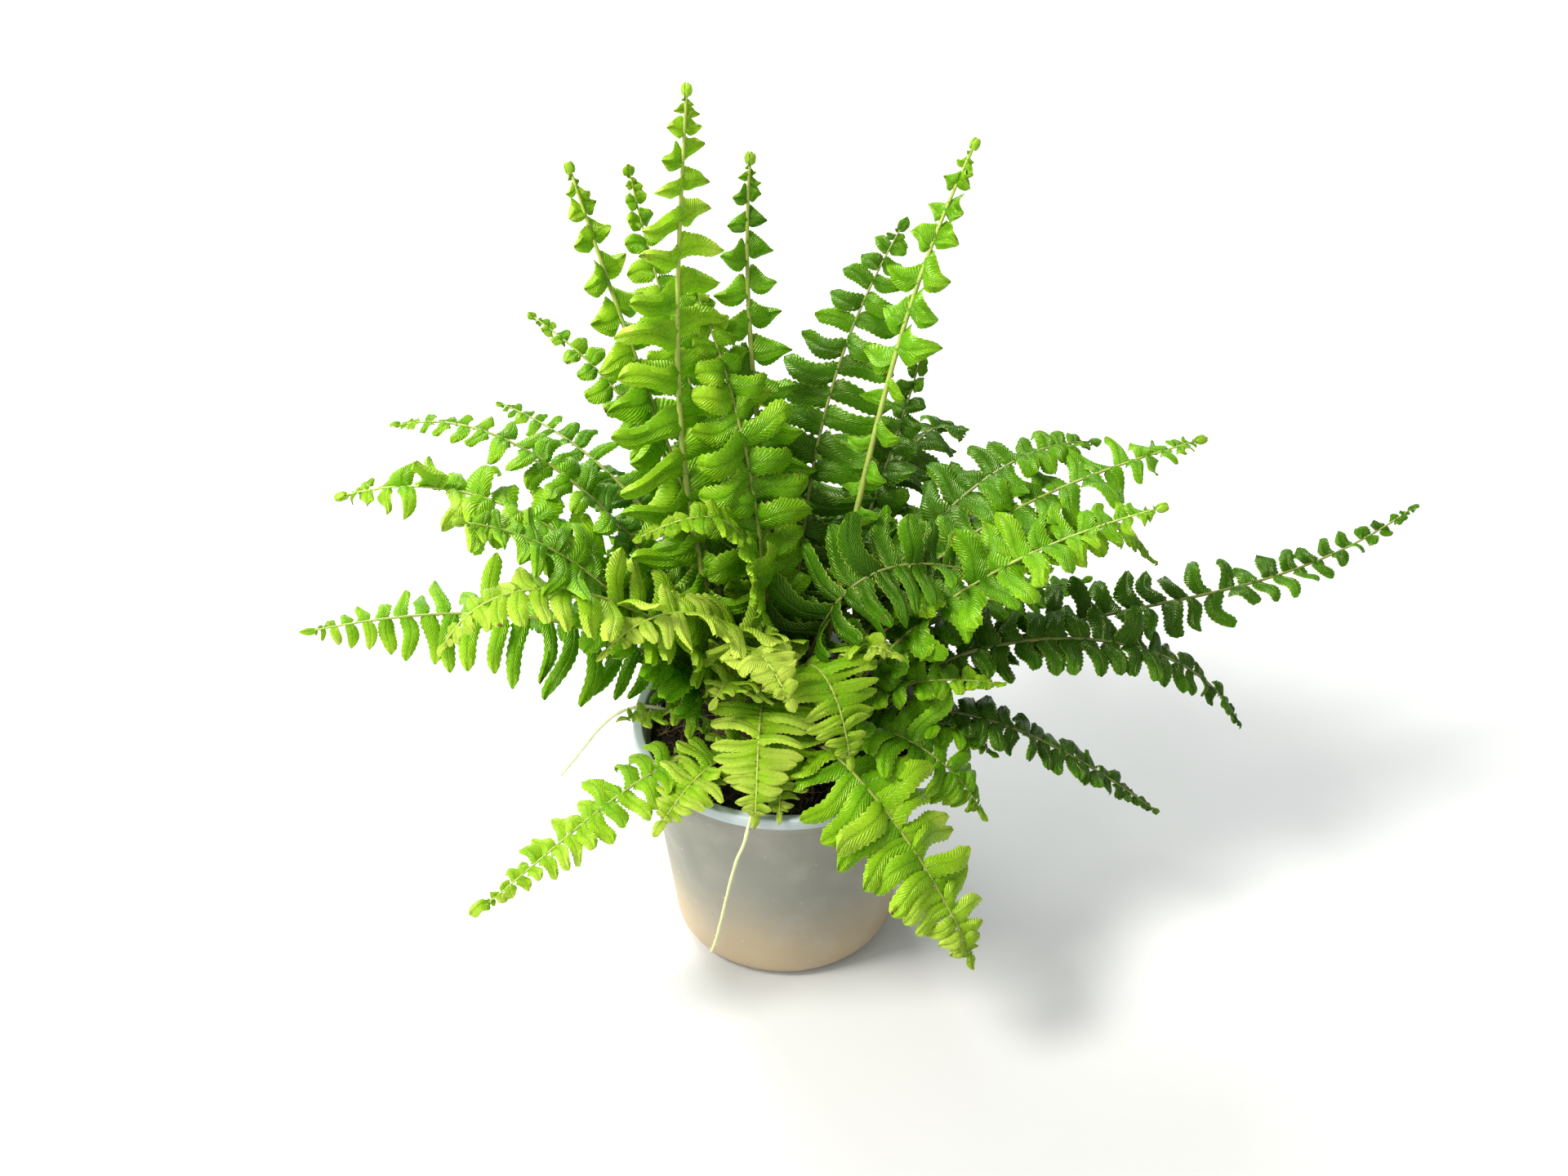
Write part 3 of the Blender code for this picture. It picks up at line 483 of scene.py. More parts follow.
@dataclass(frozen=True)
class PlasticFinish(Finish):
    """The pot's moulded plastic: a paler rim, a grey wall and a warmer foot."""

    rim: Colour = (0.42, 0.49, 0.50)
    wall: Colour = (0.235, 0.235, 0.195)
    foot: Colour = (0.42, 0.33, 0.205)
    foot_fades: tuple[float, float] = (0.006, 0.052)     # heights
    sway: float = 0.030          # how unevenly it fades
    speck: Colour = (0.75, 0.72, 0.66)
    dust: Colour = (0.60, 0.55, 0.48)
    dullness: float = 0.25

    def make(self, groups: Groups) -> bpy.types.Material:
        """Build the plastic material from the shared groups."""
        made, graph, shader, clouds, grain = self.start(groups, broad=22.0, fine=1500.0)
        spot = graph.place()
        height = graph.node("SeparateXYZ", {0: spot}).outputs[2]
        swayed = graph.plus(height, clouds, self.sway)
        colour = graph.mix(graph.fit(swayed, *self.foot_fades), self.foot, self.wall)
        lip = graph.fit(height, POT_HEIGHT - RIM_BAND - 0.0006, POT_HEIGHT - RIM_BAND)
        colour = graph.mix(lip, colour, self.rim)
        specks = graph.fit(graph.noise(spot, 520.0, 1.0), 0.765, 0.790, (0.0, 0.5))
        colour = graph.mix(specks, colour, self.speck)
        dusty = graph.fit(graph.noise(spot, 46.0, 6.0), 0.45, 0.75, (0.0, 0.16))
        colour = graph.mix(dusty, colour, self.dust)
        graph.wire(shader, {"Base Color": colour, "Normal": graph.bump(grain, 0.30, 0.00015),
                            "Roughness": graph.plus(self.roughness, clouds, self.dullness)})
        return made


UPPER_SHADES = ((0.030, 0.115, 0.003), (0.078, 0.265, 0.004), (0.190, 0.490, 0.005),
                (0.410, 0.690, 0.020), (0.700, 0.850, 0.120))
UNDER_SHADES = ((0.060, 0.175, 0.012), (0.125, 0.310, 0.014), (0.240, 0.500, 0.018),
                (0.430, 0.700, 0.030), (0.700, 0.880, 0.110))
STALK_SHADES = ((0.10, 0.12, 0.02), (0.25, 0.32, 0.04), (0.48, 0.62, 0.09))
RUNNER_SHADES = ((0.46, 0.50, 0.18), (0.70, 0.74, 0.40), (0.86, 0.87, 0.64))
SCALE_SHADES = ((0.13, 0.06, 0.02), (0.34, 0.20, 0.09))
PEAT_SHADES = ((0.006, 0.004, 0.003), (0.022, 0.013, 0.008), (0.060, 0.036, 0.020),
               (0.130, 0.080, 0.045))
FIBRE_SHADES = ((0.06, 0.03, 0.015), (0.16, 0.09, 0.045), (0.34, 0.23, 0.13))
BARK_SHADES = ((0.03, 0.014, 0.006), (0.10, 0.05, 0.02), (0.22, 0.13, 0.06))
LEAF_GLOSS = {LeafSlot.FRESH: 0.28, LeafSlot.GREEN: 0.27, LeafSlot.DEEP: 0.26}
UNDERSIDE = {"vein": (0.10, 0.25, 0.02), "rib": (0.45, 0.55, 0.12), "rib_share": 0.5,
             "relief": 0.8, "shine": 0.3, "shine_tint": (0.86, 1.0, 0.48), "translucent": 0.45}


class Palette:
    """Every material of the plant and its pot, made once."""

    def __init__(self) -> None:
        """Build the shared groups and the materials."""
        groups = {"veins": vein_group(), "mottle": mottle_group()}
        wanted: list[Any] = [
            StemFinish("stalk_skin", 0.5, STALK_SHADES),
            StemFinish("runner_skin", 0.55, RUNNER_SHADES, browning=0.2),
            GrainFinish("stalk_scales", 0.7, SCALE_SHADES),
            GrainFinish("peat", 0.95, PEAT_SHADES),
            GrainFinish("fibre", 0.85, FIBRE_SHADES, scale=500.0),
            GrainFinish("crown_bark", 0.85, BARK_SHADES, scale=600.0),
            PlasticFinish("pot_plastic", 0.52),
        ]
        for slot, gloss in LEAF_GLOSS.items():
            wanted += [
                LeafFinish(slot.value, gloss, UPPER_SHADES, shine=0.75,
                           shine_tint=(0.84, 1.0, 0.32)),
                LeafFinish(slot.value + "_under", 0.55, UNDER_SHADES, **UNDERSIDE),
            ]
        self.made = {finish.name: finish.make(groups) for finish in wanted}

    def dress(self, piece: bpy.types.Object, *names: str) -> None:
        """Give a piece its materials, in the order of its faces' numbers."""
        for name in names:
            piece.data.materials.append(self.made[name])


# ---- Mesh helpers -----------------------------------------------------------------------------
def mesh_from(bm: bmesh.types.BMesh, name: str, smooth: bool = True) -> bpy.types.Mesh:
    """Close a bmesh into a new mesh."""
    for face in bm.faces:
        face.smooth = smooth
    mesh = bpy.data.meshes.new(name)
    bm.to_mesh(mesh)
    bm.free()
    return mesh


def places_of(mesh: bpy.types.Mesh) -> Array:
    """The mesh's vertices as a table."""
    places = np.zeros(len(mesh.vertices) * 3)
    mesh.vertices.foreach_get("co", places)
    return places.reshape(-1, 3)


def set_places(mesh: bpy.types.Mesh, places: Array) -> None:
    """Move the mesh's vertices."""
    mesh.vertices.foreach_set("co", np.asarray(places, np.float32).ravel())
    mesh.update()


def store(mesh: bpy.types.Mesh, name: str, values: Array) -> None:
    """Keep a number for each vertex."""
    layer = mesh.attributes.new(name, "FLOAT", "POINT")
    layer.data.foreach_set("value", np.asarray(values, np.float32).ravel())


def repeated(template: bpy.types.Mesh, count: int, name: str) -> bpy.types.Mesh:
    """A mesh that holds a template some times over."""
    bm = bmesh.new()
    for _ in range(count):
        bm.from_mesh(template)
    mesh = bpy.data.meshes.new(name)
    bm.to_mesh(mesh)
    bm.free()
    return mesh


def add_piece(name: str, mesh: bpy.types.Mesh, nodes: tuple[str, ...]
              ) -> bpy.types.Object:
    """Show a mesh as a piece of the plant.

    Args:
        name: the piece's name.
        mesh: its mesh, in place.
        nodes: the frame's nodes that it stands for.

    Returns:
        The piece.
    """
    piece = bpy.data.objects.new(name, mesh)
    bpy.context.scene.collection.objects.link(piece)
    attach(piece, BODY)
    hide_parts(*nodes)
    return piece


def baked(piece: bpy.types.Object) -> None:
    """Apply a piece's modifiers to its mesh."""
    bpy.context.view_layer.update()
    graph = bpy.context.evaluated_depsgraph_get()
    mesh = bpy.data.meshes.new_from_object(piece.evaluated_get(graph), depsgraph=graph)
    piece.modifiers.clear()
    piece.data = mesh


def spike(bm: bmesh.types.BMesh, centre: Vector, lean: Vector, length: float,
          radii: tuple[float, float], sides: int, flat: float = 1.0) -> list[Any]:
    """Add a thin closed cone, as a scale or a hair.

    Args:
        bm: the bmesh that it joins.
        centre: its middle.
        lean: the way that it points.
        length: its length.
        radii: its radius at the foot and at the tip.
        sides: its number of sides.
        flat: its thickness over its breadth.

    Returns:
        Its vertices.
    """
    turn = lean.to_track_quat("Z", "Y").to_matrix().to_4x4()
    spot = Matrix.Translation(centre) @ turn @ Matrix.Diagonal((1.0, flat, 1.0, 1.0))
    made = bmesh.ops.create_cone(bm, segments=sides, radius1=radii[0], radius2=radii[1],
                                 depth=length, matrix=spot, cap_ends=True)
    return made["verts"]


def evenly(points: Array, count: int) -> Array:
    """A line's points set again at even distances."""
    steps = np.linalg.norm(np.diff(points, axis=0), axis=1)
    at = np.concatenate([[0.0], np.cumsum(steps)])
    even = np.linspace(0.0, at[-1], count)
    return np.stack([np.interp(even, at, column) for column in points.T], axis=-1)


def direction(heading: float, rise: float) -> Array:
    """Unit vector of a heading and a rise in degrees."""
    turned, raised = math.radians(heading), math.radians(rise)
    flat = math.cos(raised)
    return np.array([math.cos(turned) * flat, math.sin(turned) * flat, math.sin(raised)])


def tube_template(rings: int, sides: int) -> bpy.types.Mesh:
    """A straight closed tube of unit radius, with a ring of vertices at each whole height."""
    name = f"tube_template_{rings}_{sides}"
    found = bpy.data.meshes.get(name)
    if found:
        return found
    bm = bmesh.new()
    bmesh.ops.create_cone(bm, segments=sides, radius1=1.0, radius2=1.0, depth=1.0, cap_ends=True,
                          matrix=Matrix.Translation((0.0, 0.0, 0.5)))
    end = max(bm.faces, key=lambda face: face.calc_center_median().z)
    for _ in range(rings - 2):
        end = bmesh.ops.extrude_discrete_faces(bm, faces=[end])["faces"][0]
        bmesh.ops.translate(bm, verts=end.verts, vec=(0.0, 0.0, 1.0))
    return mesh_from(bm, name)


GROOVE_SPREAD = 0.45     # half the channel's breadth round a stalk, radians


def swept(template: bpy.types.Mesh, centres: Array, radii: Array, side: Array, normal: Array,
          groove: float = 0.0) -> Array:
    """Places of a straight tube's vertices along a curve.

    Args:
        template: the straight tube, with as many rings as there are centres.
        centres: the curve's points.
        radii: the tube's radius at each.
        side: the direction across the curve at each.
        normal: the direction off the curve's face at each.
        groove: depth of a channel along the normal's side, over the radius.

    Returns:
        The table of places.
    """
    flat = places_of(template)
    ring = np.clip(np.rint(flat[:, 2]).astype(int), 0, len(centres) - 1)
    angle = np.arctan2(flat[:, 1], flat[:, 0])
    radius = radii[ring] * (1.0 - groove * np.exp(-((angle - math.pi / 2) / GROOVE_SPREAD) ** 2))
    return (centres[ring] + (radius * np.cos(angle))[:, None] * side[ring]
            + (radius * np.sin(angle))[:, None] * normal[ring])


def framed(points: Array) -> tuple[Array, Array]:
    """Directions across and off a curve, for a tube along it.

    Returns:
        The side and the normal at each point.
    """
    tangent = np.gradient(points, axis=0)
    tangent /= np.linalg.norm(tangent, axis=1)[:, None]
    away = np.array([0.31, 0.22, 0.92])
    side = np.cross(tangent, away)
    side /= np.linalg.norm(side, axis=1)[:, None]
    return side, np.cross(side, tangent)


# ---- Fronds -----------------------------------------------------------------------------------
class Stalk:
    """The curve of one frond's stalk, with a frame at every distance along it."""

    ROOT_HANDLE = 0.42
    TIP_HANDLE = 0.36
    SAMPLES = 96

    def __init__(self, frond: Frond) -> None:
        """Sample the curve from the crown to the tip."""
        out = direction(frond.root, frond.rise)
        spans = np.array([CROWN_RADIUS, CROWN_RADIUS, CROWN_HEIGHT])
        start = out * spans ** 2 / np.linalg.norm(out * spans) + out * FIT_GAP
        start[2] += FIT_GAP
        tip = direction(frond.heading, 0.0) * frond.reach
        tip[2] = frond.height
        end = direction(frond.heading + frond.turn, frond.dip)
        chord = float(np.linalg.norm(tip - start)) * frond.bow
        control = np.array([start, start + out * chord * self.ROOT_HANDLE,
                            tip - end * chord * self.TIP_HANDLE, tip])
        t = np.linspace(0.0, 1.0, self.SAMPLES)[:, None]
        weights = np.hstack([(1 - t) ** 3, 3 * (1 - t) ** 2 * t, 3 * (1 - t) * t ** 2, t ** 3])
        self.points = weights @ control + np.array([0.0, 0.0, SOIL_TOP])
        steps = np.linalg.norm(np.diff(self.points, axis=0), axis=1)
        self.at = np.concatenate([[0.0], np.cumsum(steps)])
        self.length = float(self.at[-1])
        tangent = np.gradient(self.points, axis=0)
        tangent /= np.linalg.norm(tangent, axis=1)[:, None]
        across = direction(frond.heading + 90.0, 0.0)
        side = across - (tangent @ across)[:, None] * tangent
        side /= np.linalg.norm(side, axis=1)[:, None]
        normal = np.cross(tangent, side)
        roll = math.radians(frond.roll)
        self.tangent = tangent
        self.side = side * math.cos(roll) + normal * math.sin(roll)
        self.normal = normal * math.cos(roll) - side * math.sin(roll)

    def read(self, table: Array, along: Array) -> Array:
        """A table's rows at some distances along the stalk."""
        return np.stack([np.interp(along, self.at, column) for column in table.T], axis=-1)

    def place(self, along: Array, across: Array, up: Array) -> Array:
        """Carry points of the flat frond onto the curved one."""
        held = np.clip(along, 0.0, self.length)
        return (self.read(self.points, held)
                + self.read(self.tangent, held) * (along - held)[..., None]
                + self.read(self.side, held) * across[..., None]
                + self.read(self.normal, held) * up[..., None])


def thickness(share: Any) -> Any:
    """Half the stalk's thickness at a share of its length."""
    return 0.5 * (STALK_BASE + (STALK_TIP - STALK_BASE) * share)


@dataclass
class Ranks:
    """Where a frond's leaflets stand, read from the frame's own solid."""

    frond: Frond
    stalk: Stalk
    tried_steps: tuple[float, ...] = (0, 14, -14, 28, -28, 42, -42, 56)     # degrees
    tried_sizes: tuple[float, ...] = (1.0, 0.8, 0.6)
    lean: float = 0.16             # how far a leaflet leans forward, over its length
    alternate: float = 0.25        # how far one side's leaflets stand before the other's
    swell_start: float = 0.60      # size of the first leaflet over the longest
    swell_share: float = 0.25      # share of the frond over which they grow
    last_size: float = 0.14
    closest: float = 0.45          # spacing of leaflets of no size, over the widest spacing
    fit_within: float = 0.0006     # how near the solid's corners a leaflet's ends have to be

    def size(self, share: float) -> float:
        """Length of a leaflet over the longest one, at a share of the leafy part."""
        swell = self.swell_start + (1.0 - self.swell_start) * min(1.0, share / self.swell_share)
        taper = 2.2 if self.frond.young else 3.0
        return swell * (1.0 - (1.0 - self.last_size) * share ** taper)

    def stations(self) -> list[float]:
        """Distances along the stalk between the leaflets."""
        pairs, length = self.frond.pairs, self.stalk.length
        widths = [self.closest + (1.0 - self.closest) * self.size((pair + 0.5) / pairs)
                  for pair in range(pairs)]
        scale = length * (1.0 - BARE_SHARE) * (1.0 - 0.5 / pairs) / sum(widths)
        found = [length * BARE_SHARE]
        for width in widths:
            found.append(found[-1] + width * scale)
        return found

    def ends(self, back: float, front: float, side: int, lift: float, scale: float
             ) -> tuple[Array, float]:
        """The ends of a leaflet's outer edge in the frame's solid.

        Args:
            back: where its foot starts along the stalk.
            front: where its foot ends.
            side: 1 or -1.
            lift: its rise from the frond's plane, degrees.
            scale: its size over its usual one.

        Returns:
            The two places, and its length.
        """
        length = self.stalk.length
        middle = 0.5 * (back + front)
        share = (middle / length - BARE_SHARE) / (1.0 - BARE_SHARE)
        size = self.frond.leaflet * self.size(min(max(share, 0.0), 1.0)) * scale
        angle = math.radians(lift)
        across = side * (thickness(back / length) + size * math.cos(angle))
        half = 0.5 * (front - back) * self.frond.blunt
        centre = middle + size * self.lean
        along = np.array([centre - half, centre + half])
        return self.stalk.place(along, np.full(2, across), np.full(2, size * math.sin(angle))), size

    def found(self) -> Iterator[tuple[int, int, float, float, float, float]]:
        """The leaflets that the frame's solid has.

        Yields:
            Number from the foot, side, back, front, lift in degrees and length.
        """
        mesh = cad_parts[self.frond.name].data
        tree = KDTree(len(mesh.vertices))
        for number, vert in enumerate(mesh.vertices):
            tree.insert(vert.co, number)
        tree.balance()
        stops = self.stations()
        shift = self.alternate * (stops[-1] - stops[0]) / self.frond.pairs
        for number in range(self.frond.pairs):
            for side in (-1, 1):
                back, front = (stop - side * shift * self.size(min(1.0, stop / self.stalk.length))
                               for stop in stops[number:number + 2])
                best = (self.fit_within, 0.0, 0.0)
                for scale in self.tried_sizes:
                    for step in self.tried_steps:
                        lift = step - self.frond.droop
                        ends, size = self.ends(back, front, side, lift, scale)
                        miss = max(tree.find(end)[2] for end in ends)
                        best = min(best, (miss, lift, size))
                if best[2] > 0.0:
                    yield number, side, back, front, best[1], best[2]


@dataclass(frozen=True)
class Outline:
    """A leaflet's outline: half widths over its foot, from the foot to the tip."""

    upper: tuple[float, ...]
    lower: tuple[float, ...]
    crenate: float       # depth of the teeth
    spread: float        # width over the spacing
    stretch: float       # length over the frame's own leaflet
    sweep: float         # how far the tip leans forward, over the length


KNOTS = (0.0, 0.07, 0.16, 0.30, 0.50, 0.70, 0.85, 0.94, 1.0)
FULL_GROWN = Outline(
    upper=(0.58, 0.63, 0.56, 0.48, 0.46, 0.45, 0.41, 0.32, 0.17),
    lower=(0.32, 0.42, 0.46, 0.46, 0.46, 0.45, 0.40, 0.30, 0.15),
    crenate=0.085, spread=1.12, stretch=1.07, sweep=0.08)
ROUND = Outline(
    upper=(0.42, 0.52, 0.56, 0.56, 0.54, 0.48, 0.37, 0.25, 0.12),
    lower=(0.26, 0.38, 0.46, 0.51, 0.53, 0.48, 0.37, 0.25, 0.12),
    crenate=0.06, spread=0.98, stretch=0.98, sweep=0.05)
STRAP = Outline(
    upper=(0.54, 0.56, 0.47, 0.36, 0.32, 0.34, 0.31, 0.22, 0.10),
    lower=(0.40, 0.44, 0.41, 0.35, 0.33, 0.34, 0.30, 0.20, 0.09),
    crenate=0.05, spread=0.82, stretch=1.36, sweep=0.04)
FAN = Outline(
    upper=(0.70, 0.74, 0.69, 0.56, 0.41, 0.27, 0.17, 0.10, 0.05),
    lower=(0.18, 0.28, 0.36, 0.42, 0.42, 0.35, 0.24, 0.15, 0.06),
    crenate=0.035, spread=0.82, stretch=1.22, sweep=0.05)


def outlines_of(frond: Frond) -> tuple[Outline, Outline]:
    """The outlines of a frond's leaflets: along it, and at its tip."""
    if frond.blunt < 0.30:
        return FAN, FAN
    if frond.young:
        return STRAP, FAN
    return FULL_GROWN, FAN if frond.coiled else ROUND


@dataclass
class Leaflets:
    """The leaflets of one frond as thin blades."""

    frond: Frond
    stalk: Stalk
    rng: np.random.Generator
    along_cells: int = 18
    across_cells: int = 4
    thick: float = 0.00028
    late: int = 4                # small leaflets beyond the last ones of the frame
    late_breadth: float = 0.8
    late_shrink: float = 0.17
    stunted: float = 0.5         # size of the leaflets that stayed small
    stunted_share: float = 0.56
    tip_round: float = 0.03      # how far the tip's corners are drawn back
    foot_round: float = 0.02
    foot_in: float = 0.1         # how far the foot sits in the stalk, over its half thickness
    # What follows sets how much one blade differs from the next.
    breadths: tuple[float, float] = (0.86, 1.08)
    lengths: tuple[float, float] = (0.90, 1.08)
    bends: tuple[float, float] = (0.35, 1.0)     # from foot to tip, radians
    ruffles: tuple[float, float] = (0.8, 1.5)
    calm: float = 0.65           # ruffle of a calm frond over another's
    rise: float = 13.0           # up or down from the frond's plane, degrees
    twist: float = 18.0          # of the whole blade, degrees
    end_twist: float = 34.0      # added towards the tip, degrees
    ripple: float = 0.075        # height of an edge's waves over the breadth
    swell: float = 0.34          # height of each half's swell over the breadth
    hang: float = 0.16           # how far the edges hang below the rib
    veer: float = 0.14           # how far the tip goes sideways, over the length
    snaking: float = 0.055       # height of the waves in the blade's own plane
    buckle: float = 0.05         # height of the waves across it
    edge_waves: float = 1.2      # waves along an edge
    snake_waves: float = 0.8
    scorched_share: float = 0.07
    # What follows shifts the tone.
    own_tone: float = 0.12       # from one leaflet to the next
    frond_fresh: float = 0.32    # from the frond's foot to its tip
    # Partly fresher tips, partly painted shade at a leaflet's foot and painted light at its tip.
    blade_fresh_and_painted_light: float = 0.24    # from a leaflet's foot to its tip
    # Painted light towards a leaflet's margin.
    edge_painted_light: float = 0.07     # from its rib to its margin
    rows: list[tuple[float, ...]] = field(default_factory=list)

    def template(self) -> bpy.types.Mesh:
        """One flat blade with its own map, shared by every frond."""
        name = "blade_template"
        found = bpy.data.meshes.get(name)
        if found:
            return found
        bm = bmesh.new()
        bm.loops.layers.uv.new("blade")
        bmesh.ops.create_grid(bm, x_segments=self.along_cells, y_segments=self.across_cells,
                              size=1.0, calc_uvs=True)
        return mesh_from(bm, name)

    def gather(self) -> None:
        """Take the leaflets from the frame's solid, and add the last small ones."""
        for number, side, back, front, lift, size in Ranks(self.frond, self.stalk).found():
            share = back / self.stalk.length
            stray = STRAYS.get((self.frond.name, number, side))
            if stray:
                lift, size = stray[0], size * stray[1]
            small = self.frond.name == SPARSE_BELOW and share < self.stunted_share
            grown = self.stunted if small else 1.0
            self.rows.append((side, 0.5 * (back + front), (front - back) * grown, size * grown,
                              math.radians(lift), share))
        side, middle, width, size, lift, _ = self.rows[-1]
        room = self.stalk.length - middle - 0.5 * width
        for number in range(1, self.late + 1):
            side = -side
            less = 1.0 - self.late_shrink * number
            at = middle + 0.5 * width + room * (number - 0.6) / self.late
            self.rows.append((side, at, width * self.late_breadth * less, size * less, lift, 1.0))
        if not self.frond.coiled:
            long, wide = LONG_ENDS.get(self.frond.name, END_LEAFLET)
            self.rows.append((0, self.stalk.length - 0.0006, width * wide, size * long, 0.1, 1.0))

    def build(self, palette: Palette) -> bpy.types.Object:
        """Bend every blade into place, tint it and give it its thickness."""
        self.gather()
        rows = np.array(self.rows)
        flat = places_of(self.template())
        u, v = (flat[:, 0] * 0.5 + 0.5)[None, :], flat[:, 1][None, :]
        name = f"{self.frond.name}_leaflets"
        mesh = repeated(self.template(), len(rows), name)
        set_places(mesh, self.bent(rows, u, v).reshape(-1, 3))
        self.tint(mesh, rows, u, v)
        slot = LeafSlot.of(self.frond).value
        piece = add_piece(name, mesh, (self.frond.name,))
        palette.dress(piece, slot, slot + "_under")
        solid = piece.modifiers.new("blade", "SOLIDIFY")
        solid.thickness = self.thick
        solid.offset = -1.0
        solid.material_offset = 1
        solid.material_offset_rim = 1
        baked(piece)
        piece.data.set_sharp_from_angle(angle=math.radians(60.0))
        return piece

    def outline(self, u: Array, share: Array) -> dict[str, Array]:
        """The blades' outlines, which go over from the first leaflets' to the last ones'.

        Args:
            u: share of a blade's length, from its foot.
            share: each leaflet's share of the stalk's length.

        Returns:
            Each quantity of an outline by its name.
        """
        late = np.clip((share - 0.55) / 0.40, 0.0, 1.0)
        first, last = (asdict(shape) for shape in outlines_of(self.frond))
        found = {}
        for name, start in first.items():
            end = last[name]
            if isinstance(start, tuple):
                start, end = (np.interp(u, KNOTS, widths) for widths in (start, end))
            found[name] = start + (end - start) * late
        return found

    def bent(self, rows: Array, u: Array, v: Array) -> Array:
        """Work out where every blade's vertices go.

        Args:
            rows: each leaflet's side, middle, width, length, lift and share of the stalk.
            u: share of a blade's length, from its foot.
            v: share of its half breadth, from -1 to 1.

        Returns:
            A table of places for each leaflet.
        """
        side, middle, width, length, lift, share = (rows[:, i:i + 1] for i in range(6))
        count = len(rows)
        ahead = side == 0
        shape = self.outline(u, share)
        w = np.where(ahead, v, -side * v)
        tooth = np.where(np.abs(v) > 0.99, (-1.0) ** np.rint(u * self.along_cells), 0.0)
        breadth = width * shape["spread"] * self.between(count, *self.breadths)
        breadth = breadth * BREADTHS.get(self.frond.name, 1.0)
        reach = length * shape["stretch"] * self.between(count, *self.lengths)
        ruffle = self.rng.uniform(*self.ruffles) * (self.calm if self.frond.name in CALM else 1.0)
        lift = lift + np.radians(self.rise) * ruffle * self.swing(count)
        upper, lower = shape["upper"], shape["lower"]
        half = np.where(ahead, 0.5 * (upper + lower), np.where(w > 0, upper, lower))
        off = w * half * breadth * (1.0 + shape["crenate"] * tooth)
        twist = np.radians(self.twist) * self.swing(count)
        twist = twist + np.radians(self.end_twist) * self.swing(count) * u
        wave = np.sin(2 * math.pi * (self.edge_waves * u + self.draw(count))) * w
        swell = self.swell * np.abs(v) * (1.0 - np.abs(v)) - self.hang * v * v
        sweep = shape["sweep"] * (0.2 * u + 0.8 * u * u) + self.veer * self.swing(count) * u
        sweep = sweep + self.snaking * ruffle * self.snake(u, count)
        forward = reach * sweep + off * np.cos(twist)
        raised = off * np.sin(twist) + breadth * (swell + self.ripple * ruffle * wave)
        run = u - self.tip_round * u ** 4 * v * v + self.foot_round * v * v * (1.0 - u) ** 3
        bend = self.between(count, *self.bends) * ruffle
        raised = raised + self.buckle * ruffle * reach * self.snake(u, count)
        start = lift + 0.5 * bend
        heading = start - bend * run
        out = reach * (np.sin(start) - np.sin(heading)) / bend - raised * np.sin(heading)
        up = reach * (np.cos(heading) - np.cos(start)) / bend + raised * np.cos(heading)
        foot = -self.foot_in * thickness(middle / self.stalk.length)
        along = middle + np.where(ahead, out, forward)
        across = np.where(ahead, off, side * (foot + out))
        return self.stalk.place(along, across, up)

    def tint(self, mesh: bpy.types.Mesh, rows: Array, u: Array, v: Array) -> None:
        """Store each vertex's tone, fresher towards the tips, with painted shade at each leaflet's
        foot and painted light at its tip and margin, and its scorch.
        """
        count, share = len(rows), rows[:, 5:6]
        tone = self.frond.tone + self.frond_fresh * (share - 0.55)
        tone = tone + self.own_tone * self.swing(count)
        # Painted shade at each leaflet's foot, painted light at its tip and margin.
        tone = tone + self.blade_fresh_and_painted_light * (u - 0.45) + self.edge_painted_light * (np.abs(v) - 0.5)
        store(mesh, "tone", np.clip(tone, 0.0, 1.0))
        worn = np.where(self.draw(count) > 1.0 - self.scorched_share, 1.0, 0.0)
        store(mesh, "wear", worn * np.clip(u * 3.0 - 1.9, 0.0, 1.0))

    def draw(self, count: int) -> Array:
        """A column of random shares."""
        return self.rng.random((count, 1))

    def between(self, count: int, low: float, high: float) -> Array:
        """A column of random numbers between two ends."""
        return low + (high - low) * self.draw(count)

    def swing(self, count: int) -> Array:
        """A column of random numbers about zero, most of them small."""
        return self.rng.normal(0.0, 0.5, (count, 1))

    def snake(self, u: Array, count: int) -> Array:
        """A slow wave along every leaflet, still at its foot."""
        phase = 2.0 * math.pi * self.draw(count)
        return np.sin(2.0 * math.pi * self.snake_waves * u + phase) - np.sin(phase)


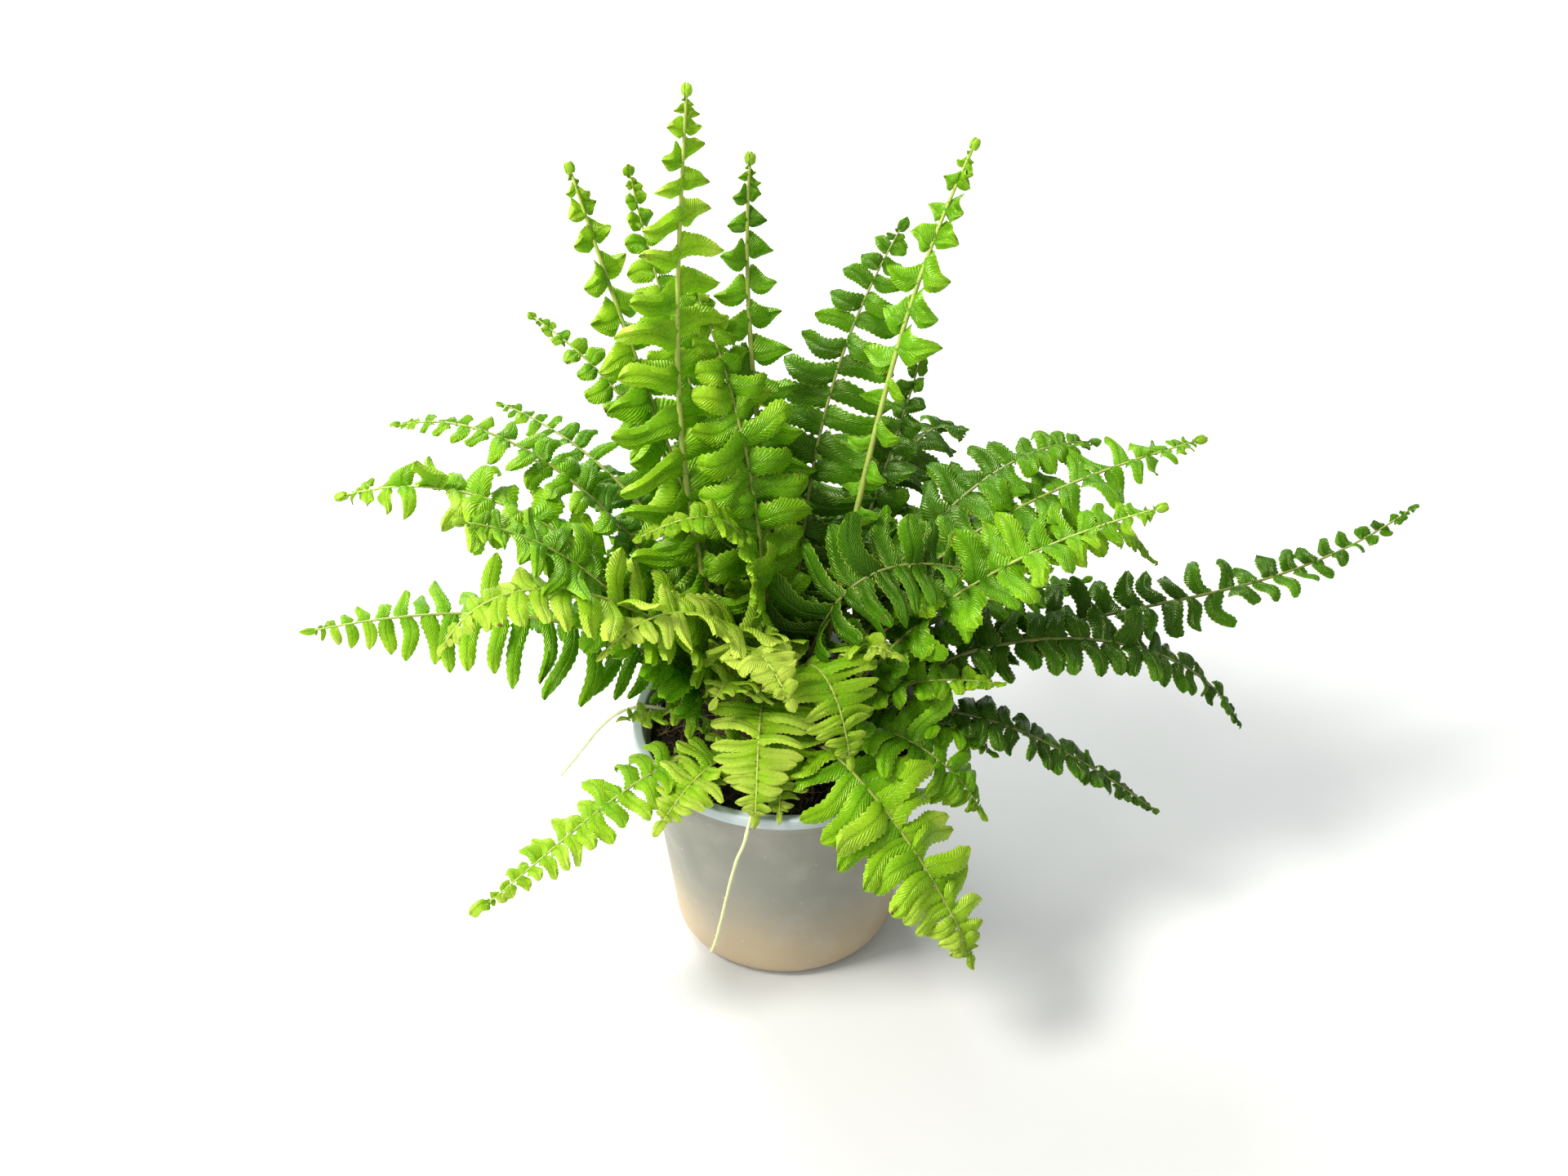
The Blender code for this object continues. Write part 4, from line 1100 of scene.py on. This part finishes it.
@dataclass
class StalkSkin:
    """The visible stalk of one frond, with its scales and the bud at its tip."""

    frond: Frond
    stalk: Stalk
    rng: np.random.Generator
    rings: int = 44
    sides: int = 10
    slim: float = 0.82           # thickness over the frame's, on a long frond
    slimmest: float = 0.45       # and on the shortest, over a long one's
    long: float = 0.30           # length that counts as long
    stout: float = 1.3           # thickness of a young frond's stalk over the frame's
    end_taper: float = 0.30
    groove: float = 0.22
    scales: int = 90
    scale_length: float = 0.0016
    scale_radii: tuple[float, float] = (0.00011, 0.00002)
    tone_share: float = 0.65     # of the leaflets' own tone
    coiled_tone: float = 0.9     # the same where the tip is coiled
    tip_fresh: float = 0.35      # from its foot to its tip
    bud_size: float = 0.0023
    bud_stretch: tuple[float, float, float] = (0.84, 0.68, 1.2)
    bud_leaves: int = 6
    bud_turn: float = 2.4        # from one leaf of the bud to the next, radians
    bud_layer: float = 0.035     # how far each stands out over the last, over the bud

    def build(self, palette: Palette) -> bpy.types.Object:
        """Sweep the stalk and set its scales and its bud."""
        template = tube_template(self.rings, self.sides)
        along = np.linspace(0.0, self.stalk.length, self.rings)
        share = along / self.stalk.length
        slim = self.slim * min(1.0, self.slimmest + self.stalk.length / self.long)
        width = self.stout if self.frond.young else slim
        radii = thickness(share) * width * (1.0 - self.end_taper * share ** 6)
        centres, side, normal = (
            self.stalk.read(table, along)
            for table in (self.stalk.points, self.stalk.side, self.stalk.normal))
        mesh = repeated(template, 1, f"{self.frond.name}_stalk")
        set_places(mesh, swept(template, centres, radii, side, normal, self.groove))
        flat = places_of(template)
        bm = bmesh.new()
        bm.from_mesh(mesh)
        self.add_scales(bm, centres, radii, side, normal)
        if self.frond.coiled:
            self.add_bud(bm)
        bm.to_mesh(mesh)
        bm.free()
        shares = np.full(len(mesh.vertices), 0.6)
        shares[:len(flat)] = flat[:, 2] / (self.rings - 1)
        store(mesh, "along", shares)
        own = self.coiled_tone if self.frond.coiled else self.tone_share
        tone = np.full(len(shares), self.frond.tone * own)
        tone[:len(flat)] += self.tip_fresh * (shares[:len(flat)] - 0.3)
        store(mesh, "tone", np.clip(tone, 0.0, 1.0))
        slot = LeafSlot.of(self.frond).value
        piece = add_piece(mesh.name, mesh, (self.frond.name,))
        palette.dress(piece, "stalk_skin", "stalk_scales", slot)
        for polygon in mesh.polygons:
            polygon.use_smooth = True
        return piece

    def add_scales(self, bm: bmesh.types.BMesh, centres: Array, radii: Array, side: Array,
                   normal: Array) -> None:
        """Set fine papery scales on the stalk, thickest at its foot."""
        for share in self.rng.random(self.scales) ** 1.4:
            ring = int(share * (self.rings - 1))
            angle = self.rng.uniform(0.0, 2.0 * math.pi)
            out = Vector(side[ring] * math.cos(angle) + normal[ring] * math.sin(angle))
            foot = Vector(centres[ring]) + out * float(radii[ring]) * 0.9
            lean = (out + Vector(self.rng.normal(0.0, 0.45, 3))).normalized()
            length = self.scale_length * self.rng.uniform(0.5, 1.2)
            for vert in spike(bm, foot + lean * length * 0.5, lean, length, self.scale_radii, 3):
                for face in vert.link_faces:
                    face.material_index = 1

    def add_bud(self, bm: bmesh.types.BMesh) -> None:
        """Close the tip with a tight bud of folded leaflets."""
        axis = Vector(self.stalk.tangent[-1])
        turn = axis.to_track_quat("Z", "Y").to_matrix().to_4x4()
        home = Matrix.Translation(Vector(self.stalk.points[-1]) + axis * self.bud_size) @ turn
        home = home @ Matrix.Diagonal((*self.bud_stretch, 1.0))
        core = bmesh.ops.create_icosphere(bm, subdivisions=2, radius=self.bud_size * 0.86,
                                          matrix=home)
        fresh = list(core["verts"])
        for leaf in range(self.bud_leaves):
            patch = bmesh.ops.create_grid(bm, x_segments=4, y_segments=3, size=1.0)["verts"]
            for vert in patch:
                height = -0.9 + 0.95 * (vert.co.x + 1.0)
                spread = 0.75 * math.cos(vert.co.x * 1.2)
                angle = leaf * self.bud_turn + vert.co.y * spread
                layer = self.bud_size * (1.0 + self.bud_layer * leaf)
                radius = layer * math.cos(height * 0.95) + 0.0001
                vert.co = home @ Vector((radius * math.cos(angle), radius * math.sin(angle),
                                         self.bud_size * 1.05 * math.sin(height)))
            fresh += patch
        for vert in fresh:
            for face in vert.link_faces:
                face.material_index = 2


# ---- Pot, potting mix, crown and runners ------------------------------------------------------
def arc(centre: tuple[float, float], radius: float, start: float, end: float, steps: int
        ) -> list[tuple[float, float]]:
    """Points of an arc in a profile's plane, angles in degrees from the outward direction."""
    angles = [math.radians(start + (end - start) * step / steps) for step in range(steps + 1)]
    return [(centre[0] + radius * math.cos(a), centre[1] + radius * math.sin(a)) for a in angles]


def turned(profile: list[tuple[float, float]], name: str, steps: int) -> bpy.types.Mesh:
    """Spin a (radius, height) profile that starts and ends on the axis into a closed shell."""
    bm = bmesh.new()
    verts = [bm.verts.new((radius, 0.0, height)) for radius, height in profile]
    edges = [bm.edges.new(pair) for pair in zip(verts, verts[1:])]
    bmesh.ops.spin(bm, geom=verts + edges, cent=(0, 0, 0), axis=(0, 0, 1),
                   angle=2.0 * math.pi, steps=steps, use_merge=True)
    bmesh.ops.remove_doubles(bm, verts=bm.verts, dist=0.000005)
    bmesh.ops.recalc_face_normals(bm, faces=bm.faces)
    return mesh_from(bm, name)


@dataclass
class Pot:
    """The growers' pot: rolled rim, fine step, tapered wall, rounded foot and drain holes."""

    overhang: float = 0.0045       # how far the rim stands out over the wall
    taper: float = 0.0105
    foot_round: float = 0.007
    wall: float = 0.0015
    rim_width: float = 0.004
    rim_round: float = 0.0009
    rim_fillet: float = 0.0006     # in the corner under the rim
    step_drop: float = 0.008       # from the rim down to the fine step
    step_proud: float = 0.0005
    step_slope: float = 0.0016     # height over which it swells
    drain_radius: float = 0.004
    drain_margin: float = 0.014    # from the edge of the flat base to a hole's middle
    drains: int = 6
    steps: int = 144

    @property
    def low_radius(self) -> float:
        """Outer radius of the wall at the top of the rounded foot."""
        return RIM_RADIUS - self.overhang - self.taper

    @property
    def base_radius(self) -> float:
        """Radius of the flat base."""
        return self.low_radius - self.foot_round

    def wall_radius(self, height: float) -> float:
        """Outer radius of the wall at a height."""
        rise = (height - self.foot_round) / (POT_HEIGHT - RIM_BAND - self.foot_round)
        return self.low_radius + self.taper * rise

    def inside(self, gap: float) -> list[tuple[float, float]]:
        """The inner profile from the floor's middle to under the rim, moved inwards by a gap."""
        corner = self.foot_round - self.wall - gap
        top = POT_HEIGHT - RIM_BAND - self.wall
        points = [(0.0, self.wall + gap)]
        points += arc((self.base_radius, self.foot_round), corner, -90, 0, 6)
        points.append((self.wall_radius(top) - self.wall - gap, top))
        return points

    def build(self, palette: Palette) -> bpy.types.Object:
        """Turn the shell and cut the drain holes."""
        rim_in, low = RIM_RADIUS - self.rim_width, POT_HEIGHT - RIM_BAND
        step, rolled, fillet = low - self.step_drop, self.rim_round, self.rim_fillet
        proud = self.wall_radius(step) + self.step_proud
        profile = self.inside(0.0)
        profile += [(rim_in - self.wall * 0.5, low), (rim_in, POT_HEIGHT - rolled * 2)]
        profile += arc((rim_in + rolled, POT_HEIGHT - rolled), rolled, 180, 90, 4)
        profile += arc((RIM_RADIUS - rolled, POT_HEIGHT - rolled), rolled, 90, 0, 5)
        profile += arc((RIM_RADIUS - rolled, low + rolled), rolled, 0, -90, 5)
        profile += [(self.wall_radius(low) + fillet, low), (self.wall_radius(low), low - fillet),
                    (proud - self.step_proud * 0.4, step + self.step_slope),
                    (proud, step + 0.0004), (proud, step - 0.0001),
                    (self.wall_radius(step - 0.0006), step - 0.0006)]
        for share in (0.8, 0.6, 0.4, 0.2):
            height = self.foot_round + (step - self.foot_round) * share
            profile.append((self.wall_radius(height), height))
        profile += arc((self.base_radius, self.foot_round), self.foot_round, 0, -90, 8)
        profile.append((0.0, 0.0))
        mesh = turned(profile, "pot_shell", self.steps)
        piece = add_piece("pot_shell", mesh, ("pot",))
        palette.dress(piece, "pot_plastic")
        self.drill(piece)
        piece.data.set_sharp_from_angle(angle=math.radians(50.0))
        return piece

    def drill(self, piece: bpy.types.Object) -> None:
        """Cut the drain holes through the floor."""
        bm = bmesh.new()
        for index in range(self.drains):
            angle = 2.0 * math.pi * index / self.drains
            reach = self.base_radius - self.drain_margin
            spot = Matrix.Translation((reach * math.cos(angle), reach * math.sin(angle), 0.0))
            bmesh.ops.create_cone(bm, segments=32, radius1=self.drain_radius,
                                  radius2=self.drain_radius, depth=self.wall * 4, matrix=spot,
                                  cap_ends=True)
        drill = bpy.data.objects.new("drill", mesh_from(bm, "drill"))
        bpy.context.scene.collection.objects.link(drill)
        cut = piece.modifiers.new("drains", "BOOLEAN")
        cut.operation = "DIFFERENCE"
        cut.object = drill
        baked(piece)
        bpy.data.objects.remove(drill, do_unlink=True)


@dataclass
class PottingMix:
    """Peat with crumbs, bark and root fibres on its surface."""

    pot: Pot
    rng: np.random.Generator
    rings: int = 26
    steps: int = 120
    level_radius: float = 0.033     # the surface is level this far out
    fall_breadth: float = 0.020
    lumps: tuple[tuple[float, float, float], ...] = (
        (120.0, 1.7, 0.0011), (420.0, 4.1, 0.0007))     # turns over a metre, seed, height
    wall_room: float = 0.001        # between the wall and what lies on the surface
    crumbs: int = 620
    crumb_sizes: tuple[float, float] = (0.0004, 0.0014)
    fibres: int = 150
    fibre_rings: int = 9
    fibre_step: float = 0.0016
    fibre_radii: tuple[float, float] = (0.00014, 0.00034)
    fibre_lift: float = 0.0003
    fibre_loop: float = 0.0006

    def surface(self, x: float, y: float) -> float:
        """Height of the lumpy surface at a place."""
        out = (math.hypot(x, y) - self.level_radius) / self.fall_breadth
        height = SOIL_TOP - SOIL_FALL * min(1.0, max(0.0, out))
        for scale, seed, size in self.lumps:
            height += noise.noise(Vector((x * scale, y * scale, seed))) * size
        return height

    def build(self, palette: Palette) -> list[bpy.types.Object]:
        """Turn the bed, raise its lumps, and strew it."""
        edge = SOIL_TOP - SOIL_FALL
        reach = self.pot.wall_radius(edge) - self.pot.wall - FIT_GAP
        profile = [(reach * ring / self.rings, SOIL_TOP) for ring in range(self.rings + 1)]
        profile += reversed([point for point in self.pot.inside(FIT_GAP) if point[1] < edge])
        mesh = turned(profile, "potting_mix_bed", self.steps)
        for vert in mesh.vertices:
            if vert.co.z > edge:
                vert.co.z = self.surface(vert.co.x, vert.co.y)
        tones = np.full(len(mesh.vertices), 0.35)
        return [self.show(palette, mesh, "peat", tones), self.strew(palette, reach),
                self.root(palette, reach)]

    def show(self, palette: Palette, mesh: bpy.types.Mesh, finish: str, tones: Array
             ) -> bpy.types.Object:
        """Show a mesh as a piece of the potting mix."""
        store(mesh, "tone", tones)
        piece = add_piece(mesh.name, mesh, ("potting_mix",))
        palette.dress(piece, finish)
        return piece

    def strew(self, palette: Palette, reach: float) -> bpy.types.Object:
        """Crumbs of peat and bark, lying on the surface."""
        bm = bmesh.new()
        tones: list[float] = []
        for _ in range(self.crumbs):
            radius = (reach - self.wall_room) * math.sqrt(self.rng.uniform(0.18, 1.0))
            angle = self.rng.uniform(0.0, 2.0 * math.pi)
            x, y = radius * math.cos(angle), radius * math.sin(angle)
            size = self.rng.uniform(*self.crumb_sizes)
            shape = Matrix.Diagonal((*self.rng.uniform(0.5, 1.6, 3), 1.0))
            turn = Matrix.Rotation(angle * 7.0, 4, Vector(self.rng.normal(0.0, 1.0, 3)))
            spot = Matrix.Translation((x, y, self.surface(x, y) + size * 0.3))
            made = bmesh.ops.create_icosphere(bm, subdivisions=1, radius=size,
                                              matrix=spot @ turn @ shape)
            tones += [float(self.rng.uniform(0.1, 1.0)) ** 1.6] * len(made["verts"])
        mesh = mesh_from(bm, "potting_mix_crumbs", smooth=False)
        return self.show(palette, mesh, "peat", np.array(tones))

    def root(self, palette: Palette, reach: float) -> bpy.types.Object:
        """Root fibres that loop over the surface."""
        rings = self.fibre_rings
        template = tube_template(rings, 5)
        mesh = repeated(template, self.fibres, "potting_mix_fibres")
        tables, tones = [], []
        for _ in range(self.fibres):
            line = self.wander(reach)
            side, normal = framed(line)
            radii = np.full(rings, self.rng.uniform(*self.fibre_radii))
            tables.append(swept(template, line, radii, side, normal))
            tones += [float(self.rng.uniform(0.1, 1.0))] * len(template.vertices)
        set_places(mesh, np.vstack(tables))
        return self.show(palette, mesh, "fibre", np.array(tones))

    def wander(self, reach: float) -> Array:
        """The line of one fibre, which turns back before the wall."""
        angle = self.rng.uniform(0.0, 2.0 * math.pi)
        radius = reach * math.sqrt(self.rng.uniform(0.3, 0.9))
        spot = np.array([radius * math.cos(angle), radius * math.sin(angle)])
        way = self.rng.uniform(0.0, 2.0 * math.pi)
        points = []
        for step in range(self.fibre_rings):
            loop = self.fibre_loop * math.sin(math.pi * step / (self.fibre_rings - 1))
            points.append([*spot, self.surface(*spot) + self.fibre_lift + loop])
            way += self.rng.normal(0.0, 0.35)
            ahead = spot + self.fibre_step * np.array([math.cos(way), math.sin(way)])
            if np.linalg.norm(ahead) > reach - self.wall_room:
                way += 2.0
                ahead = spot * 0.985
            spot = ahead
        return np.array(points)


@dataclass
class Crown:
    """The tuft of old stalk bases and brown scales that the fronds grow from."""

    rng: np.random.Generator
    breadth: float = 0.96           # over the frame's
    height: float = 0.93
    lumpiness: float = 0.07
    scales: int = 420
    scale_lengths: tuple[float, float] = (0.0015, 0.0038)
    scale_radii: tuple[float, float] = (0.00045, 0.00005)
    scale_flat: float = 0.35

    def build(self, palette: Palette) -> bpy.types.Object:
        """Raise a rough dome and cover it with scales."""
        bm = bmesh.new()
        bmesh.ops.create_uvsphere(bm, u_segments=48, v_segments=24, radius=1.0)
        bmesh.ops.bisect_plane(bm, geom=bm.verts[:] + bm.edges[:] + bm.faces[:], dist=0.00001,
                               plane_co=(0, 0, 0), plane_no=(0, 0, -1), clear_outer=True)
        rim = [edge for edge in bm.edges if edge.is_boundary]
        bmesh.ops.holes_fill(bm, edges=rim, sides=0)
        base = Vector((0.0, 0.0, SOIL_TOP + FIT_GAP))
        spans = Vector((CROWN_RADIUS * self.breadth, CROWN_RADIUS * self.breadth,
                        CROWN_HEIGHT * self.height))
        for vert in bm.verts:
            lump = 1.0 + self.lumpiness * noise.noise(vert.co * 7.0) * vert.co.z
            vert.co = vert.co * spans * lump + base
        bmesh.ops.recalc_face_normals(bm, faces=bm.faces)
        dome = len(bm.verts)
        for _ in range(self.scales):
            heading = self.rng.uniform(0.0, 360.0)
            out = Vector(direction(heading, self.rng.uniform(4.0, 88.0)))
            lean = (out + Vector((0.0, 0.0, 0.8)) + Vector(self.rng.normal(0.0, 0.4, 3)))
            length = self.rng.uniform(*self.scale_lengths)
            centre = out * spans * 0.97 + base + lean.normalized() * length * 0.4
            spike(bm, centre, lean, length, self.scale_radii, 5, self.scale_flat)
        mesh = mesh_from(bm, "crown_tuft")
        tones = self.rng.uniform(0.2, 0.9, len(mesh.vertices))
        tones[:dome] = 0.3
        store(mesh, "tone", tones)
        piece = add_piece("crown_tuft", mesh, ("crown",))
        palette.dress(piece, "crown_bark")
        return piece


@dataclass
class Runner:
    """A thin runner that hangs over the rim, with fine root nubs."""

    name: str
    route: tuple[tuple[float, float, float], ...]
    tone: float
    rng: np.random.Generator
    thick: float = 0.0015
    tip: float = 0.8                # thickness at the tip over the rest
    rings: int = 72
    first_nub: int = 10             # ring
    nubs: int = 26
    nub_lengths: tuple[float, float] = (0.0006, 0.0019)
    nub_radii: tuple[float, float] = (0.00020, 0.00006)

    def line(self) -> Array:
        """The smooth line along the route, with its headings eased so that it has no kinks."""
        headings, past, over = np.array(self.route).T
        headings[1:-1] = 0.25 * headings[:-2] + 0.5 * headings[1:-1] + 0.25 * headings[2:]
        points = []
        for heading, out, height in zip(headings, past, over):
            spot = direction(heading, 0.0) * (RIM_RADIUS + out)
            spot[2] = POT_HEIGHT + height
            points.append(spot)
        points = [2 * points[0] - points[1], *points, 2 * points[-1] - points[-2]]
        dense = []
        for before, here, there, after in zip(points, points[1:], points[2:], points[3:]):
            for t in np.arange(8) / 8:
                dense.append(0.5 * (2 * here + (there - before) * t
                                    + (2 * before - 5 * here + 4 * there - after) * t ** 2
                                    + (3 * here - before - 3 * there + after) * t ** 3))
        dense.append(points[-2])
        return evenly(np.array(dense), self.rings)

    def build(self, palette: Palette) -> bpy.types.Object:
        """Sweep the runner and set its nubs."""
        template = tube_template(self.rings, 8)
        line = self.line()
        share = np.linspace(0.0, 1.0, self.rings)
        swell = 1.0 + 0.12 * np.sin(share * 61.0) * np.sin(share * 17.0)
        radii = 0.5 * self.thick * (1.0 - (1.0 - self.tip) * share) * swell
        side, normal = framed(line)
        mesh = repeated(template, 1, f"{self.name}_stem")
        set_places(mesh, swept(template, line, radii, side, normal))
        bm = bmesh.new()
        bm.from_mesh(mesh)
        for ring in self.rng.integers(self.first_nub, self.rings - 1, self.nubs):
            angle = self.rng.uniform(0.0, 2.0 * math.pi)
            out = Vector(side[ring] * math.cos(angle) + normal[ring] * math.sin(angle))
            length = self.rng.uniform(*self.nub_lengths)
            lean = out + Vector(self.rng.normal(0.0, 0.3, 3))
            spike(bm, Vector(line[ring]) + out * length * 0.5, lean, length, self.nub_radii, 4)
        bm.to_mesh(mesh)
        bm.free()
        for polygon in mesh.polygons:
            polygon.use_smooth = True
        count = len(mesh.vertices)
        store(mesh, "tone", np.full(count, self.tone))
        along = np.full(count, 0.5)
        along[:len(template.vertices)] = places_of(template)[:, 2] / (self.rings - 1)
        store(mesh, "along", along)
        piece = add_piece(mesh.name, mesh, (self.name,))
        palette.dress(piece, "runner_skin")
        return piece


# Each point has a heading in degrees, a distance past the rim and a height over the rim.
FRONT_ROUTE = (
    (260, -0.0150, -0.0050), (259, -0.0070, 0.0010), (258.5, 0.0000, 0.0035),
    (258, 0.0045, 0.0000), (257, 0.0057, -0.0080), (254, 0.0060, -0.0160),
    (252, 0.0058, -0.0270), (250, 0.0058, -0.0390), (248, 0.0058, -0.0510),
    (246, 0.0055, -0.0620), (244, 0.0057, -0.0700))
LEFT_ROUTE = (
    (172, -0.0185, -0.0055), (175, -0.0130, 0.0005), (178, -0.0060, 0.0040),
    (180, 0.0010, 0.0048), (182, 0.0070, 0.0030), (183, 0.0130, -0.0020),
    (184, 0.0180, -0.0080), (185, 0.0235, -0.0150), (186, 0.0295, -0.0220))


# ---- Studio -----------------------------------------------------------------------------------
@dataclass(frozen=True)
class Lamp:
    """A square soft light that faces the plant."""

    name: str
    place: tuple[float, float, float]
    size: float
    watts: float
    colour: Colour
    aim: tuple[float, float, float] = (0.0, 0.0, 0.15)

    def hang(self) -> None:
        """Add the light to the scene."""
        data = bpy.data.lights.new(self.name, "AREA")
        data.shape = "SQUARE"
        data.size = self.size
        data.energy = self.watts
        data.color = self.colour
        light = bpy.data.objects.new(self.name, data)
        light.location = self.place
        way = Vector(self.aim) - Vector(self.place)
        light.rotation_euler = way.to_track_quat("-Z", "Y").to_euler()
        bpy.context.scene.collection.objects.link(light)


@dataclass
class Studio:
    """A pale floor, soft lights and the camera."""

    floor_size: float = 12.0
    floor_colour: Colour = (0.60, 0.605, 0.61)
    floor_shade: float = 0.985      # of its darker clouds, over the rest
    sky: Colour = (0.92, 0.93, 0.92)
    sky_strength: float = 0.50
    view_down: float = 37.0         # degrees below level
    eye: tuple[float, float, float] = (-0.0003, -0.7156, 0.7034)
    focal: float = 54.375
    sensor: float = 36.0
    lamps: tuple[Lamp, ...] = (
        Lamp("key", (-1.3, -0.45, 1.9), 0.7, 71.0, (1.0, 0.97, 0.90)),
        Lamp("fill", (1.6, -1.5, 1.2), 1.6, 7.0, (0.96, 0.98, 1.0)),
        Lamp("side", (-1.7, -0.8, 0.55), 1.2, 22.0, (1.0, 0.99, 0.96)),
        Lamp("back", (-0.7, 1.6, 1.5), 1.0, 58.0, (0.97, 0.99, 0.97)))

    def build(self) -> None:
        """Set the floor, the lights and the camera."""
        scene = bpy.context.scene
        self.floor()
        world = bpy.data.worlds.new("studio")
        scene.world = world
        world.use_nodes = True
        back = world.node_tree.nodes["Background"]
        back.inputs["Color"].default_value = (*self.sky, 1.0)
        back.inputs["Strength"].default_value = self.sky_strength
        for lamp in self.lamps:
            lamp.hang()
        lens = bpy.data.cameras.new("camera")
        lens.lens = self.focal
        lens.sensor_width = self.sensor
        camera = bpy.data.objects.new("camera", lens)
        camera.location = self.eye
        camera.rotation_euler = (math.radians(90.0 - self.view_down), 0.0, 0.0)
        scene.collection.objects.link(camera)
        scene.camera = camera
        scene.view_settings.view_transform = "Standard"

    def floor(self) -> bpy.types.Object:
        """Lay the floor's pale paper."""
        bm = bmesh.new()
        bmesh.ops.create_grid(bm, x_segments=2, y_segments=2, size=self.floor_size)
        floor = bpy.data.objects.new("floor", mesh_from(bm, "floor"))
        bpy.context.scene.collection.objects.link(floor)
        made = bpy.data.materials.new("floor_paper")
        made.use_nodes = True
        graph = Graph(made.node_tree)
        shader = made.node_tree.nodes["Principled BSDF"]
        shader.inputs["Roughness"].default_value = 0.8
        clouds = graph.fit(graph.noise(graph.place(), 3.0, 2.0), 0.3, 0.7)
        darker = tuple(part * self.floor_shade for part in self.floor_colour)
        graph.wire(shader, {"Base Color": graph.mix(clouds, self.floor_colour, darker)})
        floor.data.materials.append(made)
        return floor


def main() -> None:
    """Build every piece and report it."""
    logging.basicConfig(level=logging.INFO, format="%(name)s: %(message)s")
    palette = Palette()
    pot = Pot()
    seeded = np.random.default_rng
    pieces = [pot.build(palette), *PottingMix(pot, seeded(11)).build(palette),
              Crown(seeded(12)).build(palette),
              Runner("front_runner", FRONT_ROUTE, 0.35, seeded(13)).build(palette),
              Runner("left_runner", LEFT_ROUTE, 0.6, seeded(14)).build(palette)]
    for number, frond in enumerate(FRONDS):
        stalk, rng = Stalk(frond), seeded(100 + number)
        pieces.append(Leaflets(frond, stalk, rng).build(palette))
        pieces.append(StalkSkin(frond, stalk, rng).build(palette))
    for mesh in [mesh for mesh in bpy.data.meshes if "_template" in mesh.name]:
        bpy.data.meshes.remove(mesh)
    Studio().build()
    for piece in pieces:
        LOG.info("%s: %d faces", piece.name, len(piece.data.polygons))
    bpy.context.view_layer.update()


if __name__ == "__main__":
    main()
